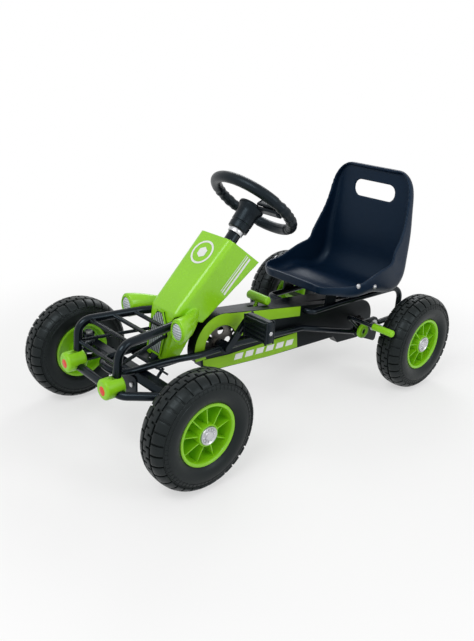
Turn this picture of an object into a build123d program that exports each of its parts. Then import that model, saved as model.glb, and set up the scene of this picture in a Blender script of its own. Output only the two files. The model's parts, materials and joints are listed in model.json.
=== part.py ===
"""Chain-driven pedal go kart for a child, with four pneumatic wheels and a moulded bucket seat.

Millimetres. +Z is up, the kart faces -Y and +X is the driver's left. The origin is on the ground
under the middle of the kart's overall box.
"""
from build123d import *
from math import asin, atan2, cos, hypot, pi, radians, sin, tan
import os

os.makedirs("parts", exist_ok=True)

# ---------------------------------------------------------------- driving dimensions
WHEELBASE = 745.0
TRACK = 495.0
TYRE_RADIUS = 130.0
TYRE_WIDTH = 80.0
NOSE_OVERHANG = 120.5          # front axle to the faces of the bumper caps

RUNNING = 0.05                 # radial clearance of a shaft in its bearing
GAP = 0.3                      # clearance between faces that move past each other
PLATE = 5.0                    # steel plate of brackets, webs and arms

# wheels
RIM_RADIUS = 64.0              # bead seat
RIM_WIDTH = 58.0
FLANGE_RADIUS = 69.0
FLANGE_THICKNESS = 3.0
RIM_WALL = 3.5
WEB_THICKNESS = 5.0
WEB_OFFSET = -9.0              # inner face of the rim's web, from the wheel's middle plane
HUB_RADIUS = 23.0
RIM_RIBS = 9
RIM_RIB_THICKNESS = 4.0
RIM_RIB_DROP = 8.0             # ribs stop this far below the rim's edge
SIDEWALL_HEIGHT = 42.0
SHOULDER_HEIGHT = 14.0
SHOULDER_WIDTH = 12.0
BEARING_RADIUS = 16.0
BEARING_WIDTH = 10.0
HUB_CAP_RADIUS = 19.0
HUB_CAP_DEPTH = 6.0
STUB_RADIUS = 6.0
REAR_AXLE_RADIUS = 8.0

# frame
RAIL_DIAMETER = 16.0
BUMPER_DIAMETER = 19.0
HOOP_DIAMETER = 16.0
ROD_DIAMETER = 10.0
STAY_DIAMETER = 8.0
BEAM_WIDTH = 50.0
BEAM_HEIGHT = 40.0
BEAM_WALL = 2.5
BEAM_DROP = 6.0                # degrees down towards the rear
BEAM_TOP_Z = 234.8             # height of the beam's top face above the origin
END_CAP_THICKNESS = 4.0
RAIL_Z = 186.0
RAIL_X = 68.0                  # rails beside the crank
RAIL_NOSE_X = 45.0             # rails under the nose
COLUMN_WEB_LENGTH = 70.0
AXLE_PLATE_X = 108.0           # outer bearing plates of the rear axle
UPPER_BAR_Z = 273.0
BUMPER_BAR_Z = 173.0

# steering
COLUMN_TILT = 41.0             # degrees back from upright
COLUMN_FOOT_REACH = 63.83      # front axle to the column's lower end, on its axis
STEERING_HEIGHT = 501.0
COLUMN_DIAMETER = 32.0
COLUMN_WALL = 2.0
COLUMN_TOP = -76.0             # along the column, from the middle of the steering wheel
COLUMN_FOOT_Z = 168.93         # lower end of the column, on its axis
BUSH_LENGTH = 14.0
COLLAR_LENGTH = 11.0
COLLAR_WALL = 3.0
SHAFT_DIAMETER = 16.0
STEERING_RING_RADIUS = 105.9
STEERING_GRIP_RADIUS = 13.4
SPOKES = 3
SPOKE_WIDTH = 26.0
HUB_TOP = -6.0
HUB_PLATE = 8.0
HUB_PAD_DIAMETER = 66.0
BOSS_DIAMETER = 53.0
PITMAN_RADIUS = 38.0
PITMAN_PLATE_RADIUS = 18.0
PITMAN_PIN_RADIUS = 4.0
PITMAN_SLOT_WIDTH = 12.0
PITMAN_SLOT_LENGTH = 20.0
PITMAN_GAP = 4.0
KNUCKLE_ARM = 60.0
KNUCKLE_WIDTH = 30.0
KNUCKLE_SETBACK = 48.5         # knuckle web inboard of the wheel's middle plane
KINGPIN_SETBACK = 62.5         # kingpin inboard of the wheel's middle plane
KINGPIN_DIAMETER = 12.0
KINGPIN_HEAD = 6.0
SLEEVE_DIAMETER = 24.0
SLEEVE_LENGTH = 36.0
FRONT_BEAM_SIZE = 25.0
TRACK_ROD_Z = 127.0
TRACK_ROD_DIAMETER = 8.0
TRACK_EYE_RADIUS = 9.0
TRACK_EYE_THICKNESS = 8.0
TRACK_PIN_RADIUS = 4.0
MOUNT_PLATE_WIDTH = 94.0
MOUNT_PLATE_HEIGHT = 54.0
MOUNT_PLATE_Z = 138.0

# bumper caps
BUMPER_CAP_X = 79.0
BUMPER_CAP_Z = 184.0
BUMPER_CAP_DIAMETER = 46.0
BUMPER_CAP_LENGTH = 46.0
BUMPER_CAP_ROUND = 6.0
REFLECTOR_Z = 182.0
REFLECTOR_DIAMETER = 21.0
REFLECTOR_THICKNESS = 3.0

# drive
CRANK_REACH = 215.5            # front axle to the crank
CRANK_Z = 188.0
CRANK_RADIUS = 76.0
CRANK_ANGLE = 47.0             # left crank arm above the rearward horizontal
CRANK_AXLE_DIAMETER = 14.0
CRANK_BUSH_RADIUS = 11.0
SHELL_RADIUS = 15.0
SHELL_INNER_X = 57.3
SHELL_OUTER_X = 79.5
ARM_INNER_X = 80.0
ARM_THICKNESS = 7.0
ARM_WIDTH = 18.0
PEDAL_GAP = 2.0
PEDAL_LENGTH = 82.0
PEDAL_DEPTH = 30.0
PEDAL_HEIGHT = 62.0
PEDAL_ROUND = 6.0
SPINDLE_DIAMETER = 10.0
SPINDLE_END = 6.0              # pedal left closed over the spindle's end
CHAIN_PITCH = 12.7
CHAINRING_TEETH = 26
SPROCKET_TEETH = 13
CHAIN_X = 43.0
SPROCKET_THICKNESS = 3.0
SPROCKET_HUB_WIDTH = 12.0
SPROCKET_HUB_RADIUS = 13.0
CHAINRING_HOLE_RADIUS = 32.0
CHAINRING_HOLE_DIAMETER = 20.0
TOOTH_HEIGHT = 3.0
ROLLER_DIAMETER = 8.0
CHAIN_PLATE = 1.5
CHAIN_HEIGHT = 9.0
CHAIN_CLEARANCE = 0.6

# chain guard
GUARD_INNER_X = 31.0
GUARD_OUTER_X = 57.0
GUARD_WALL = 2.0
GUARD_FRONT_RADIUS = 80.0
GUARD_REAR_RADIUS = 58.0
GUARD_TRIM = 1.5
WINDOW_RADIUS = 49.0

# seat
SEAT_FLOOR_Z = 277.7           # height of the seat's underside where it crosses the origin
SEAT_FRONT_Y = 135.0
CAVITY_REACH = 60.0            # hollows are cut this far past the walls round them
SEAT_WALL = 5.0
SEAT_SIDE_WALL = 7.0
SEAT_HALF_WIDTH = 156.0
SEAT_BACK_SETBACK = 72.5       # backrest behind the rear axle, at the floor
SEAT_TOP_Z = 557.0
HANDLE_WIDTH = 135.0
HANDLE_HEIGHT = 44.5
HANDLE_Z = 488.3

# fairing
FAIRING_WALL = 3.5
GRILLE_DEPTH = 4.0
GRILLE_PITCH = 10.0
LAMP_X = 98.0
LAMP_Z = 276.0
LAMP_WIDTH = 48.0
LAMP_HEIGHT = 58.0
LENS_WIDTH = 34.0
LENS_HEIGHT = 39.0
LENS_THICKNESS = 4.0

# seat hoops
HOOP_Z = 212.0
HOOP_X = 78.0

# levers
LEVER_REACH = 369.0            # front axle to the gear lever's pivot
LEVER_PIVOT_Z = 216.0
LEVER_PIN_DIAMETER = 6.0
LEVER_STEM_DIAMETER = 10.0
LEVER_SLOT_LENGTH = 36.0
LEVER_BAR_LENGTH = 72.0
LEVER_BAR_DIAMETER = 23.0
LEVER_LEAN = 26.0              # degrees back from upright
BRAKE_PIVOT_Z = 133.0
BRAKE_PIVOT_SETBACK = 67.5     # brake pivot ahead of the rear axle
BRAKE_ROD_DIAMETER = 10.0
BRAKE_GRIP_DIAMETER = 18.0
BRAKE_GRIP_START_X = 208.0
BRAKE_GRIP_LENGTH = 62.0
BRAKE_KNOB_DIAMETER = 41.0
BRAKE_KNOB_THICKNESS = 12.0
BRAKE_PIN_RADIUS = 5.0
BOLT_RADIUS = 6.0
BOLT_HEAD = 5.0

# ---------------------------------------------------------------- places worked out from them
SIDES = {"left": 1, "right": -1}
OVERALL_LENGTH = WHEELBASE + TYRE_RADIUS + NOSE_OVERHANG
REAR_AXLE_Y = OVERALL_LENGTH / 2 - TYRE_RADIUS
FRONT_AXLE_Y = REAR_AXLE_Y - WHEELBASE
AXLE_Z = TYRE_RADIUS
WHEEL_X = TRACK / 2
CRANK_Y = FRONT_AXLE_Y + CRANK_REACH
KNUCKLE_WEB_X = WHEEL_X - KNUCKLE_SETBACK
KINGPIN_X = WHEEL_X - KINGPIN_SETBACK
COLUMN_BOTTOM = (COLUMN_FOOT_Z - STEERING_HEIGHT) / cos(radians(COLUMN_TILT))
STEERING_CENTRE = Vector(
    0, FRONT_AXLE_Y + COLUMN_FOOT_REACH - COLUMN_BOTTOM * sin(radians(COLUMN_TILT)), STEERING_HEIGHT)
BEAM_FRONT_Y = FRONT_AXLE_Y + 127.5
BEAM_REAR_Y = REAR_AXLE_Y + 28
WEB_TOP_Z = RAIL_Z - RAIL_DIAMETER / 2 + 1
FRONT_BEAM_Z = RAIL_Z - RAIL_DIAMETER / 2 - FRONT_BEAM_SIZE / 2
LEVER_Y = FRONT_AXLE_Y + LEVER_REACH
BRAKE_PIVOT_Y = REAR_AXLE_Y - BRAKE_PIVOT_SETBACK
AXLE_PLATE_FRONT_Y = BRAKE_PIVOT_Y - 20
HOOP_START_Y = REAR_AXLE_Y - 240
HOOP_REAR_Y = REAR_AXLE_Y + 115.5


# ---------------------------------------------------------------- shared geometry
def beam_top(y):
    return BEAM_TOP_Z - y * tan(radians(BEAM_DROP))


COLUMN_AXIS = Vector(0, sin(radians(COLUMN_TILT)), cos(radians(COLUMN_TILT)))
BEAM_AXIS = Vector(0, cos(radians(BEAM_DROP)), -sin(radians(BEAM_DROP)))


def column_plane(distance):
    """Plane square to the steering column. Its x is the kart's X, its y points back and down."""
    return Plane(origin=STEERING_CENTRE + COLUMN_AXIS * distance, x_dir=(1, 0, 0), z_dir=COLUMN_AXIS)


def side_plane(x):
    """Upright plane facing +X. Its x is the kart's Y, its y is the kart's Z."""
    return Plane(origin=(x, 0, 0), x_dir=(0, 1, 0), z_dir=(1, 0, 0))


def wheel_plane(side, y):
    """Upright plane through a wheel's axle. Its x points outboard, its y points up."""
    return Plane(origin=(side * WHEEL_X, y, AXLE_Z), x_dir=(side, 0, 0), z_dir=(0, -side, 0))


def bent_tube(points, bends, diameter):
    """A round bar along a line whose corners are bent to the given radii."""
    with BuildPart(mode=Mode.PRIVATE) as tube:
        with BuildLine() as path:
            if len(points) > 2:
                FilletPolyline(*points, radius=bends)
            else:
                Line(*points)
        with BuildSketch(Plane(origin=path.line @ 0, z_dir=path.line % 0)):
            Circle(diameter / 2)
        sweep(path=path.wires()[0])
    return tube.part


def mirrored(points):
    """A right-hand outline followed by its mirror image, as one closed run of points."""
    return points + [(-x, y) for x, y in reversed(points)]


def mirrored_path(points):
    """A route that starts at the mirror image of the last point and ends at the last point."""
    return [(-x, y, z) for x, y, z in reversed(points)] + points


def pitch_radius(teeth):
    return CHAIN_PITCH / 2 / sin(pi / teeth)


def channel_section(y, z, lean, half_width, depth, corner):
    """Slice across a moulded channel: its floor at the given point, its walls leaning into the channel."""
    lean = radians(lean)
    plane = Plane(origin=(0, y, z), x_dir=(1, 0, 0), z_dir=(0, -cos(lean), -sin(lean)))
    with BuildSketch(plane, mode=Mode.PRIVATE) as section:
        with BuildLine():
            wall = Line((-half_width, depth), (-half_width, corner))
            turn = RadiusArc(wall @ 1, (corner - half_width, 0), -corner)
            floor = Line(turn @ 1, (half_width - corner, 0))
            far_turn = RadiusArc(floor @ 1, (half_width, corner), -corner)
            far_wall = Line(far_turn @ 1, (half_width, depth))
            Line(far_wall @ 1, wall @ 0)
        make_face()
    return section.sketch.faces()[0]


def hollowed(slice_sizes, wall, floor):
    """The slice of the space inside a channel, open well past its walls."""
    y, z, lean, half_width, depth, corner = slice_sizes
    inner_y = y - floor * sin(radians(lean))
    inner_z = z + floor * cos(radians(lean))
    return inner_y, inner_z, lean, half_width - wall, depth + CAVITY_REACH, max(corner - wall, wall / 2)


# ---------------------------------------------------------------- wheels
HALF_RIM = RIM_WIDTH / 2
HALF_TYRE = TYRE_WIDTH / 2
TYRE_OUTLINE = [
    (HALF_RIM - FLANGE_THICKNESS, RIM_RADIUS), (HALF_TYRE, TYRE_RADIUS - SIDEWALL_HEIGHT),
    (HALF_TYRE - SHOULDER_WIDTH / 6, TYRE_RADIUS - SHOULDER_HEIGHT),
    (HALF_TYRE - SHOULDER_WIDTH, TYRE_RADIUS),
]
RIM_FRONT = [
    (HALF_RIM - FLANGE_THICKNESS, RIM_RADIUS), (HALF_RIM, FLANGE_RADIUS), (HALF_RIM, RIM_RADIUS - RIM_WALL),
    (WEB_OFFSET + WEB_THICKNESS, RIM_RADIUS - RIM_WALL), (WEB_OFFSET + WEB_THICKNESS, HUB_RADIUS),
    (HALF_RIM, HUB_RADIUS),
]
RIM_BACK = [
    (-HALF_RIM, HUB_RADIUS), (WEB_OFFSET, HUB_RADIUS), (WEB_OFFSET, RIM_RADIUS - RIM_WALL),
    (-HALF_RIM, RIM_RADIUS - RIM_WALL), (-HALF_RIM, FLANGE_RADIUS), (FLANGE_THICKNESS - HALF_RIM, RIM_RADIUS),
]

for place, axle_y in (("front", FRONT_AXLE_Y), ("rear", REAR_AXLE_Y)):
    for name, side in SIDES.items():
        plane = wheel_plane(side, axle_y)
        spin = Axis(plane.origin, (1, 0, 0))
        bore = STUB_RADIUS + 2 if place == "front" else REAR_AXLE_RADIUS

        with BuildPart() as tyre:
            with BuildSketch(plane):
                with BuildLine():
                    Polyline(*TYRE_OUTLINE, *[(-x, y) for x, y in reversed(TYRE_OUTLINE)], close=True)
                make_face()
            revolve(axis=spin)
        tyre.part.label = f"{place}_tyre_{name}"
        export_step(tyre.part, f"parts/{place}_tyre_{name}.step")

        with BuildPart() as rim:
            with BuildSketch(plane):
                with BuildLine():
                    Polyline(*RIM_FRONT, (HALF_RIM, bore), (-HALF_RIM, bore), *RIM_BACK, close=True)
                make_face()
            revolve(axis=spin)
            web_face = plane.origin + plane.x_dir * (WEB_OFFSET + WEB_THICKNESS)
            with BuildSketch(Plane(web_face, x_dir=(0, 1, 0), z_dir=(side, 0, 0))):
                with PolarLocations((HUB_RADIUS + RIM_RADIUS - RIM_WALL) / 2, RIM_RIBS, start_angle=90):
                    Rectangle(RIM_RADIUS - RIM_WALL - HUB_RADIUS + 1, RIM_RIB_THICKNESS)
            extrude(amount=HALF_RIM - WEB_OFFSET - WEB_THICKNESS - RIM_RIB_DROP)
            if place == "front":
                for end in (-1, 1):
                    hub_end = plane.origin + plane.x_dir * (end * HALF_RIM)
                    with BuildSketch(Plane(hub_end, z_dir=plane.x_dir * end)):
                        Circle(BEARING_RADIUS)
                    extrude(amount=-BEARING_WIDTH, mode=Mode.SUBTRACT)
        rim.part.label = f"{place}_rim_{name}"
        export_step(rim.part, f"parts/{place}_rim_{name}.step")

BEARING_CENTRE = HALF_RIM - BEARING_WIDTH / 2
for name, side in SIDES.items():
    with BuildPart() as front_bearings:
        for end in (-1, 1):
            with BuildSketch(side_plane(side * WHEEL_X + end * BEARING_CENTRE)):
                with Locations((FRONT_AXLE_Y, AXLE_Z)):
                    Circle(BEARING_RADIUS)
                    Circle(STUB_RADIUS + RUNNING, mode=Mode.SUBTRACT)
            extrude(amount=BEARING_WIDTH / 2, both=True)
    front_bearings.part.label = f"front_bearings_{name}"
    export_step(front_bearings.part, f"parts/front_bearings_{name}.step")


def hub_cap_outline():
    """Domed cap, drawn across the wheel plane from the hub's outer end."""
    return [
        (HALF_RIM, 0), (HALF_RIM, HUB_CAP_RADIUS), (HALF_RIM + HUB_CAP_DEPTH / 2, HUB_CAP_RADIUS),
        (HALF_RIM + HUB_CAP_DEPTH, HUB_CAP_RADIUS - HUB_CAP_DEPTH), (HALF_RIM + HUB_CAP_DEPTH, 0),
    ]


for name, side in SIDES.items():
    with BuildPart() as front_hub_cap:
        with BuildSketch(wheel_plane(side, FRONT_AXLE_Y)):
            with BuildLine():
                Polyline(*hub_cap_outline(), close=True)
            make_face()
        revolve(axis=Axis((0, FRONT_AXLE_Y, AXLE_Z), (1, 0, 0)))
    front_hub_cap.part.label = f"front_hub_cap_{name}"
    export_step(front_hub_cap.part, f"parts/front_hub_cap_{name}.step")

with BuildPart() as rear_hub_caps:
    for side in SIDES.values():
        with BuildSketch(wheel_plane(side, REAR_AXLE_Y)):
            with BuildLine():
                Polyline(*hub_cap_outline(), close=True)
            make_face()
        revolve(axis=Axis((0, REAR_AXLE_Y, AXLE_Z), (1, 0, 0)))
rear_hub_caps.part.label = "rear_hub_caps"
export_step(rear_hub_caps.part, "parts/rear_hub_caps.step")

# ---------------------------------------------------------------- column, beam and rails
with BuildPart() as column_plug:
    with BuildSketch(column_plane(COLUMN_BOTTOM - COLUMN_DIAMETER)):
        Circle(COLUMN_DIAMETER / 2)
    extrude(amount=COLUMN_TOP - COLUMN_BOTTOM + COLUMN_DIAMETER)

with BuildPart() as steering_column:
    with BuildSketch(column_plane(COLUMN_BOTTOM)):
        Circle(COLUMN_DIAMETER / 2)
        Circle(COLUMN_DIAMETER / 2 - COLUMN_WALL, mode=Mode.SUBTRACT)
    extrude(amount=COLUMN_TOP - COLUMN_BOTTOM)
steering_column.part.label = "steering_column"
export_step(steering_column.part, "parts/steering_column.step")

with BuildPart() as column_bushes:
    for start in (COLUMN_BOTTOM, COLUMN_TOP - BUSH_LENGTH):
        with BuildSketch(column_plane(start)):
            Circle(COLUMN_DIAMETER / 2 - COLUMN_WALL)
            Circle(SHAFT_DIAMETER / 2 + RUNNING, mode=Mode.SUBTRACT)
        extrude(amount=BUSH_LENGTH)
column_bushes.part.label = "column_bushes"
export_step(column_bushes.part, "parts/column_bushes.step")

with BuildPart() as column_collar:
    with BuildSketch(column_plane(COLUMN_TOP - COLLAR_LENGTH)):
        Circle(COLUMN_DIAMETER / 2 + COLLAR_WALL)
        Circle(COLUMN_DIAMETER / 2, mode=Mode.SUBTRACT)
    extrude(amount=COLLAR_LENGTH)
column_collar.part.label = "column_collar"
export_step(column_collar.part, "parts/column_collar.step")

beam_front = Vector(0, BEAM_FRONT_Y, beam_top(BEAM_FRONT_Y))
beam_length = (BEAM_REAR_Y - BEAM_FRONT_Y) / cos(radians(BEAM_DROP))
beam_plane = Plane(origin=beam_front, x_dir=(1, 0, 0), z_dir=BEAM_AXIS)
with BuildPart() as main_beam:
    with BuildSketch(beam_plane):
        with Locations((0, BEAM_HEIGHT / 2)):
            Rectangle(BEAM_WIDTH, BEAM_HEIGHT)
            Rectangle(BEAM_WIDTH - 2 * BEAM_WALL, BEAM_HEIGHT - 2 * BEAM_WALL, mode=Mode.SUBTRACT)
    extrude(amount=beam_length)
    add(column_plug.part, mode=Mode.SUBTRACT)
    with BuildSketch(Plane.XY.offset(beam_top(LEVER_Y) - BEAM_HEIGHT / 3)):
        with Locations((0, LEVER_Y)):
            SlotOverall(LEVER_SLOT_LENGTH, LEVER_STEM_DIAMETER + 2, rotation=90)
    extrude(amount=BEAM_HEIGHT, mode=Mode.SUBTRACT)
    with BuildSketch(Plane.YZ):
        with Locations((LEVER_Y, LEVER_PIVOT_Z)):
            Circle(LEVER_PIN_DIAMETER / 2 + RUNNING)
    extrude(amount=BEAM_WIDTH, both=True, mode=Mode.SUBTRACT)
main_beam.part.label = "main_beam"
export_step(main_beam.part, "parts/main_beam.step")

with BuildPart() as beam_end_cap:
    with BuildSketch(Plane(origin=beam_front + BEAM_AXIS * beam_length, x_dir=(1, 0, 0), z_dir=BEAM_AXIS)):
        with Locations((0, BEAM_HEIGHT / 2)):
            RectangleRounded(BEAM_WIDTH, BEAM_HEIGHT, 3)
    extrude(amount=END_CAP_THICKNESS)
beam_end_cap.part.label = "beam_end_cap"
export_step(beam_end_cap.part, "parts/beam_end_cap.step")

# the lower loop rounds the nose, follows both sides and drops to the rear axle plates
rail_half = [
    (RAIL_NOSE_X, FRONT_AXLE_Y - 61, RAIL_Z),
    (RAIL_NOSE_X + 4, FRONT_AXLE_Y + 64, RAIL_Z),
    (RAIL_X, FRONT_AXLE_Y + 138, RAIL_Z),
    (RAIL_X, CRANK_Y + 60, RAIL_Z - 2),
    (RAIL_X, REAR_AXLE_Y - 258, RAIL_Z - 17),
    (AXLE_PLATE_X, AXLE_PLATE_FRONT_Y + 2, AXLE_Z),
]
with BuildPart() as lower_frame_loop:
    add(bent_tube(mirrored_path(rail_half), [60, 90, 110, 300, 40, 40, 300, 110, 90, 60], RAIL_DIAMETER))
    for side in SIDES.values():
        with BuildSketch(side_plane(side * SHELL_INNER_X)):
            with Locations((CRANK_Y, CRANK_Z)):
                Circle(SHELL_RADIUS)
        extrude(amount=side * (SHELL_OUTER_X - SHELL_INNER_X))
    with BuildSketch(side_plane(0)):
        with Locations((CRANK_Y, CRANK_Z)):
            Circle(CRANK_BUSH_RADIUS)
    extrude(amount=SHELL_OUTER_X, both=True, mode=Mode.SUBTRACT)
lower_frame_loop.part.label = "lower_frame_loop"
export_step(lower_frame_loop.part, "parts/lower_frame_loop.step")

with BuildPart() as crank_bushes:
    for side in SIDES.values():
        with BuildSketch(side_plane(side * SHELL_INNER_X)):
            with Locations((CRANK_Y, CRANK_Z)):
                Circle(CRANK_BUSH_RADIUS)
                Circle(CRANK_AXLE_DIAMETER / 2 + RUNNING, mode=Mode.SUBTRACT)
        extrude(amount=side * (SHELL_OUTER_X - SHELL_INNER_X))
crank_bushes.part.label = "crank_bushes"
export_step(crank_bushes.part, "parts/crank_bushes.step")

with BuildPart() as column_web:
    with BuildSketch(Plane.XY.offset(WEB_TOP_Z)):
        with Locations((0, FRONT_AXLE_Y + COLUMN_WEB_LENGTH)):
            Rectangle(2 * RAIL_NOSE_X + 14, COLUMN_WEB_LENGTH)
    extrude(amount=-PLATE)
    add(lower_frame_loop.part, mode=Mode.SUBTRACT)
    add(column_plug.part, mode=Mode.SUBTRACT)
column_web.part.label = "column_web"
export_step(column_web.part, "parts/column_web.step")

# ---------------------------------------------------------------- front axle
with BuildPart() as front_axle_beam:
    with BuildSketch(side_plane(0)):
        with Locations((FRONT_AXLE_Y, FRONT_BEAM_Z)):
            RectangleRounded(FRONT_BEAM_SIZE, FRONT_BEAM_SIZE, 2)
    extrude(amount=KINGPIN_X, both=True)
    with BuildSketch(Plane.XY.offset(FRONT_BEAM_Z - SLEEVE_LENGTH / 2)):
        with Locations((-KINGPIN_X, FRONT_AXLE_Y), (KINGPIN_X, FRONT_AXLE_Y)):
            Circle(SLEEVE_DIAMETER / 2)
    extrude(amount=SLEEVE_LENGTH)
    with BuildSketch(Plane.XY.offset(FRONT_BEAM_Z - SLEEVE_LENGTH / 2)):
        with Locations((-KINGPIN_X, FRONT_AXLE_Y), (KINGPIN_X, FRONT_AXLE_Y)):
            Circle(KINGPIN_DIAMETER / 2)
    extrude(amount=SLEEVE_LENGTH, mode=Mode.SUBTRACT)
front_axle_beam.part.label = "front_axle_beam"
export_step(front_axle_beam.part, "parts/front_axle_beam.step")

beam_face_y = FRONT_AXLE_Y - FRONT_BEAM_SIZE / 2
with BuildPart() as front_mount_plate:
    with BuildSketch(Plane(origin=(0, beam_face_y, MOUNT_PLATE_Z), x_dir=(1, 0, 0), z_dir=(0, -1, 0))):
        RectangleRounded(MOUNT_PLATE_WIDTH, MOUNT_PLATE_HEIGHT, 8)
    extrude(amount=PLATE)
front_mount_plate.part.label = "front_mount_plate"
export_step(front_mount_plate.part, "parts/front_mount_plate.step")

knuckle_top_z = FRONT_BEAM_Z + SLEEVE_LENGTH / 2 + GAP
knuckle_bottom_z = FRONT_BEAM_Z - SLEEVE_LENGTH / 2 - GAP
with BuildPart() as kingpins:
    with BuildSketch(Plane.XY.offset(knuckle_bottom_z - PLATE - GAP)):
        with Locations((-KINGPIN_X, FRONT_AXLE_Y), (KINGPIN_X, FRONT_AXLE_Y)):
            Circle(KINGPIN_DIAMETER / 2)
    extrude(amount=knuckle_top_z - knuckle_bottom_z + 2 * PLATE + 2 * GAP)
    for base_z in (knuckle_top_z + PLATE + GAP, knuckle_bottom_z - PLATE - GAP - KINGPIN_HEAD):
        with BuildSketch(Plane.XY.offset(base_z)):
            with Locations((-KINGPIN_X, FRONT_AXLE_Y), (KINGPIN_X, FRONT_AXLE_Y)):
                RegularPolygon(KINGPIN_DIAMETER * 0.8, 6)
        extrude(amount=KINGPIN_HEAD)
kingpins.part.label = "kingpins"
export_step(kingpins.part, "parts/kingpins.step")

stub_end_x = WHEEL_X + HALF_RIM - GAP
hub_inner_x = WHEEL_X - HALF_RIM - GAP
arm_bottom_z = TRACK_ROD_Z - TRACK_EYE_THICKNESS / 2 - GAP - PLATE
for name, side in SIDES.items():
    with BuildPart() as knuckle:
        for base_z in (knuckle_top_z, knuckle_bottom_z - PLATE):
            with BuildSketch(Plane.XY.offset(base_z)):
                with Locations((side * (KINGPIN_X + KNUCKLE_WEB_X) / 2, FRONT_AXLE_Y)):
                    Rectangle(KNUCKLE_WEB_X - KINGPIN_X, KNUCKLE_WIDTH)
                with Locations((side * KINGPIN_X, FRONT_AXLE_Y)):
                    Circle(KNUCKLE_WIDTH / 2)
                    Circle(KINGPIN_DIAMETER / 2 + RUNNING, mode=Mode.SUBTRACT)
            extrude(amount=PLATE)
        with BuildSketch(side_plane(side * KNUCKLE_WEB_X)):
            with Locations((FRONT_AXLE_Y, (knuckle_top_z + PLATE + arm_bottom_z) / 2)):
                Rectangle(KNUCKLE_WIDTH, knuckle_top_z + PLATE - arm_bottom_z)
        extrude(amount=side * PLATE)
        with BuildSketch(Plane.XY.offset(arm_bottom_z)):
            with BuildLine():
                Polyline(
                    (side * (KNUCKLE_WEB_X + PLATE), FRONT_AXLE_Y - KNUCKLE_WIDTH / 2),
                    (side * (KNUCKLE_WEB_X + PLATE), FRONT_AXLE_Y + KNUCKLE_WIDTH / 2),
                    (side * (KINGPIN_X + TRACK_EYE_RADIUS), FRONT_AXLE_Y + KNUCKLE_ARM),
                    (side * (KINGPIN_X - TRACK_EYE_RADIUS), FRONT_AXLE_Y + KNUCKLE_ARM),
                    (side * (KINGPIN_X - TRACK_EYE_RADIUS / 2), FRONT_AXLE_Y - KNUCKLE_WIDTH / 2), close=True)
            make_face()
            with Locations((side * KINGPIN_X, FRONT_AXLE_Y + KNUCKLE_ARM)):
                Circle(TRACK_EYE_RADIUS)
        extrude(amount=PLATE)
        with BuildSketch(Plane.XY.offset(arm_bottom_z + PLATE)):
            with Locations((side * KINGPIN_X, FRONT_AXLE_Y + KNUCKLE_ARM)):
                Circle(TRACK_PIN_RADIUS)
        extrude(amount=TRACK_EYE_THICKNESS + 2 * GAP)
        with BuildSketch(side_plane(side * (KNUCKLE_WEB_X + PLATE))):
            with Locations((FRONT_AXLE_Y, AXLE_Z)):
                Circle(STUB_RADIUS)
        extrude(amount=side * (stub_end_x - KNUCKLE_WEB_X - PLATE))
        with BuildSketch(side_plane(side * (KNUCKLE_WEB_X + PLATE))):
            with Locations((FRONT_AXLE_Y, AXLE_Z)):
                Circle(STUB_RADIUS + 3)
        extrude(amount=side * (hub_inner_x - KNUCKLE_WEB_X - PLATE))
    knuckle.part.label = f"steering_knuckle_{name}"
    export_step(knuckle.part, f"parts/steering_knuckle_{name}.step")

# ---------------------------------------------------------------- steering linkage
rod_y = FRONT_AXLE_Y + KNUCKLE_ARM
rod_offset = Vector(0, rod_y, TRACK_ROD_Z) - STEERING_CENTRE
rod_distance = rod_offset.dot(COLUMN_AXIS)
lug_reach = rod_offset.dot(column_plane(0).y_dir)
with BuildPart() as track_rod:
    with BuildSketch(side_plane(0)):
        with Locations((rod_y, TRACK_ROD_Z)):
            Circle(TRACK_ROD_DIAMETER / 2)
    extrude(amount=KINGPIN_X - TRACK_EYE_RADIUS + 2, both=True)
    with BuildSketch(Plane.XY.offset(TRACK_ROD_Z - TRACK_EYE_THICKNESS / 2)):
        with Locations((-KINGPIN_X, rod_y), (KINGPIN_X, rod_y)):
            Circle(TRACK_EYE_RADIUS)
    extrude(amount=TRACK_EYE_THICKNESS)
    with BuildSketch(Plane.XY.offset(TRACK_ROD_Z - TRACK_EYE_THICKNESS / 2)):
        with Locations((-KINGPIN_X, rod_y), (KINGPIN_X, rod_y)):
            Circle(TRACK_PIN_RADIUS + RUNNING)
    extrude(amount=TRACK_EYE_THICKNESS, mode=Mode.SUBTRACT)
    with BuildSketch(column_plane(rod_distance - TRACK_ROD_DIAMETER / 4)):
        with Locations((0, (lug_reach + PITMAN_RADIUS) / 2)):
            SlotOverall(PITMAN_RADIUS - lug_reach + 2 * TRACK_EYE_RADIUS, 2 * TRACK_EYE_RADIUS, rotation=90)
    extrude(amount=PLATE)
    with BuildSketch(column_plane(rod_distance)):
        with Locations((0, PITMAN_RADIUS)):
            Circle(PITMAN_PIN_RADIUS)
    extrude(amount=COLUMN_BOTTOM - PITMAN_GAP - rod_distance)
track_rod.part.label = "track_rod"
export_step(track_rod.part, "parts/track_rod.step")

pitman_distance = COLUMN_BOTTOM - PITMAN_GAP - 2 * PLATE
with BuildPart() as pitman_plate:
    with BuildSketch(column_plane(pitman_distance)):
        with Locations((0, PITMAN_RADIUS / 2)):
            SlotOverall(PITMAN_RADIUS + 2 * PITMAN_PLATE_RADIUS, 2 * PITMAN_PLATE_RADIUS, rotation=90)
        with Locations((0, PITMAN_RADIUS + 1)):
            SlotOverall(PITMAN_SLOT_LENGTH, PITMAN_SLOT_WIDTH, rotation=90, mode=Mode.SUBTRACT)
        Circle(SHAFT_DIAMETER / 2, mode=Mode.SUBTRACT)
    extrude(amount=PLATE)
pitman_plate.part.label = "pitman_plate"
export_step(pitman_plate.part, "parts/pitman_plate.step")

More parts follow.
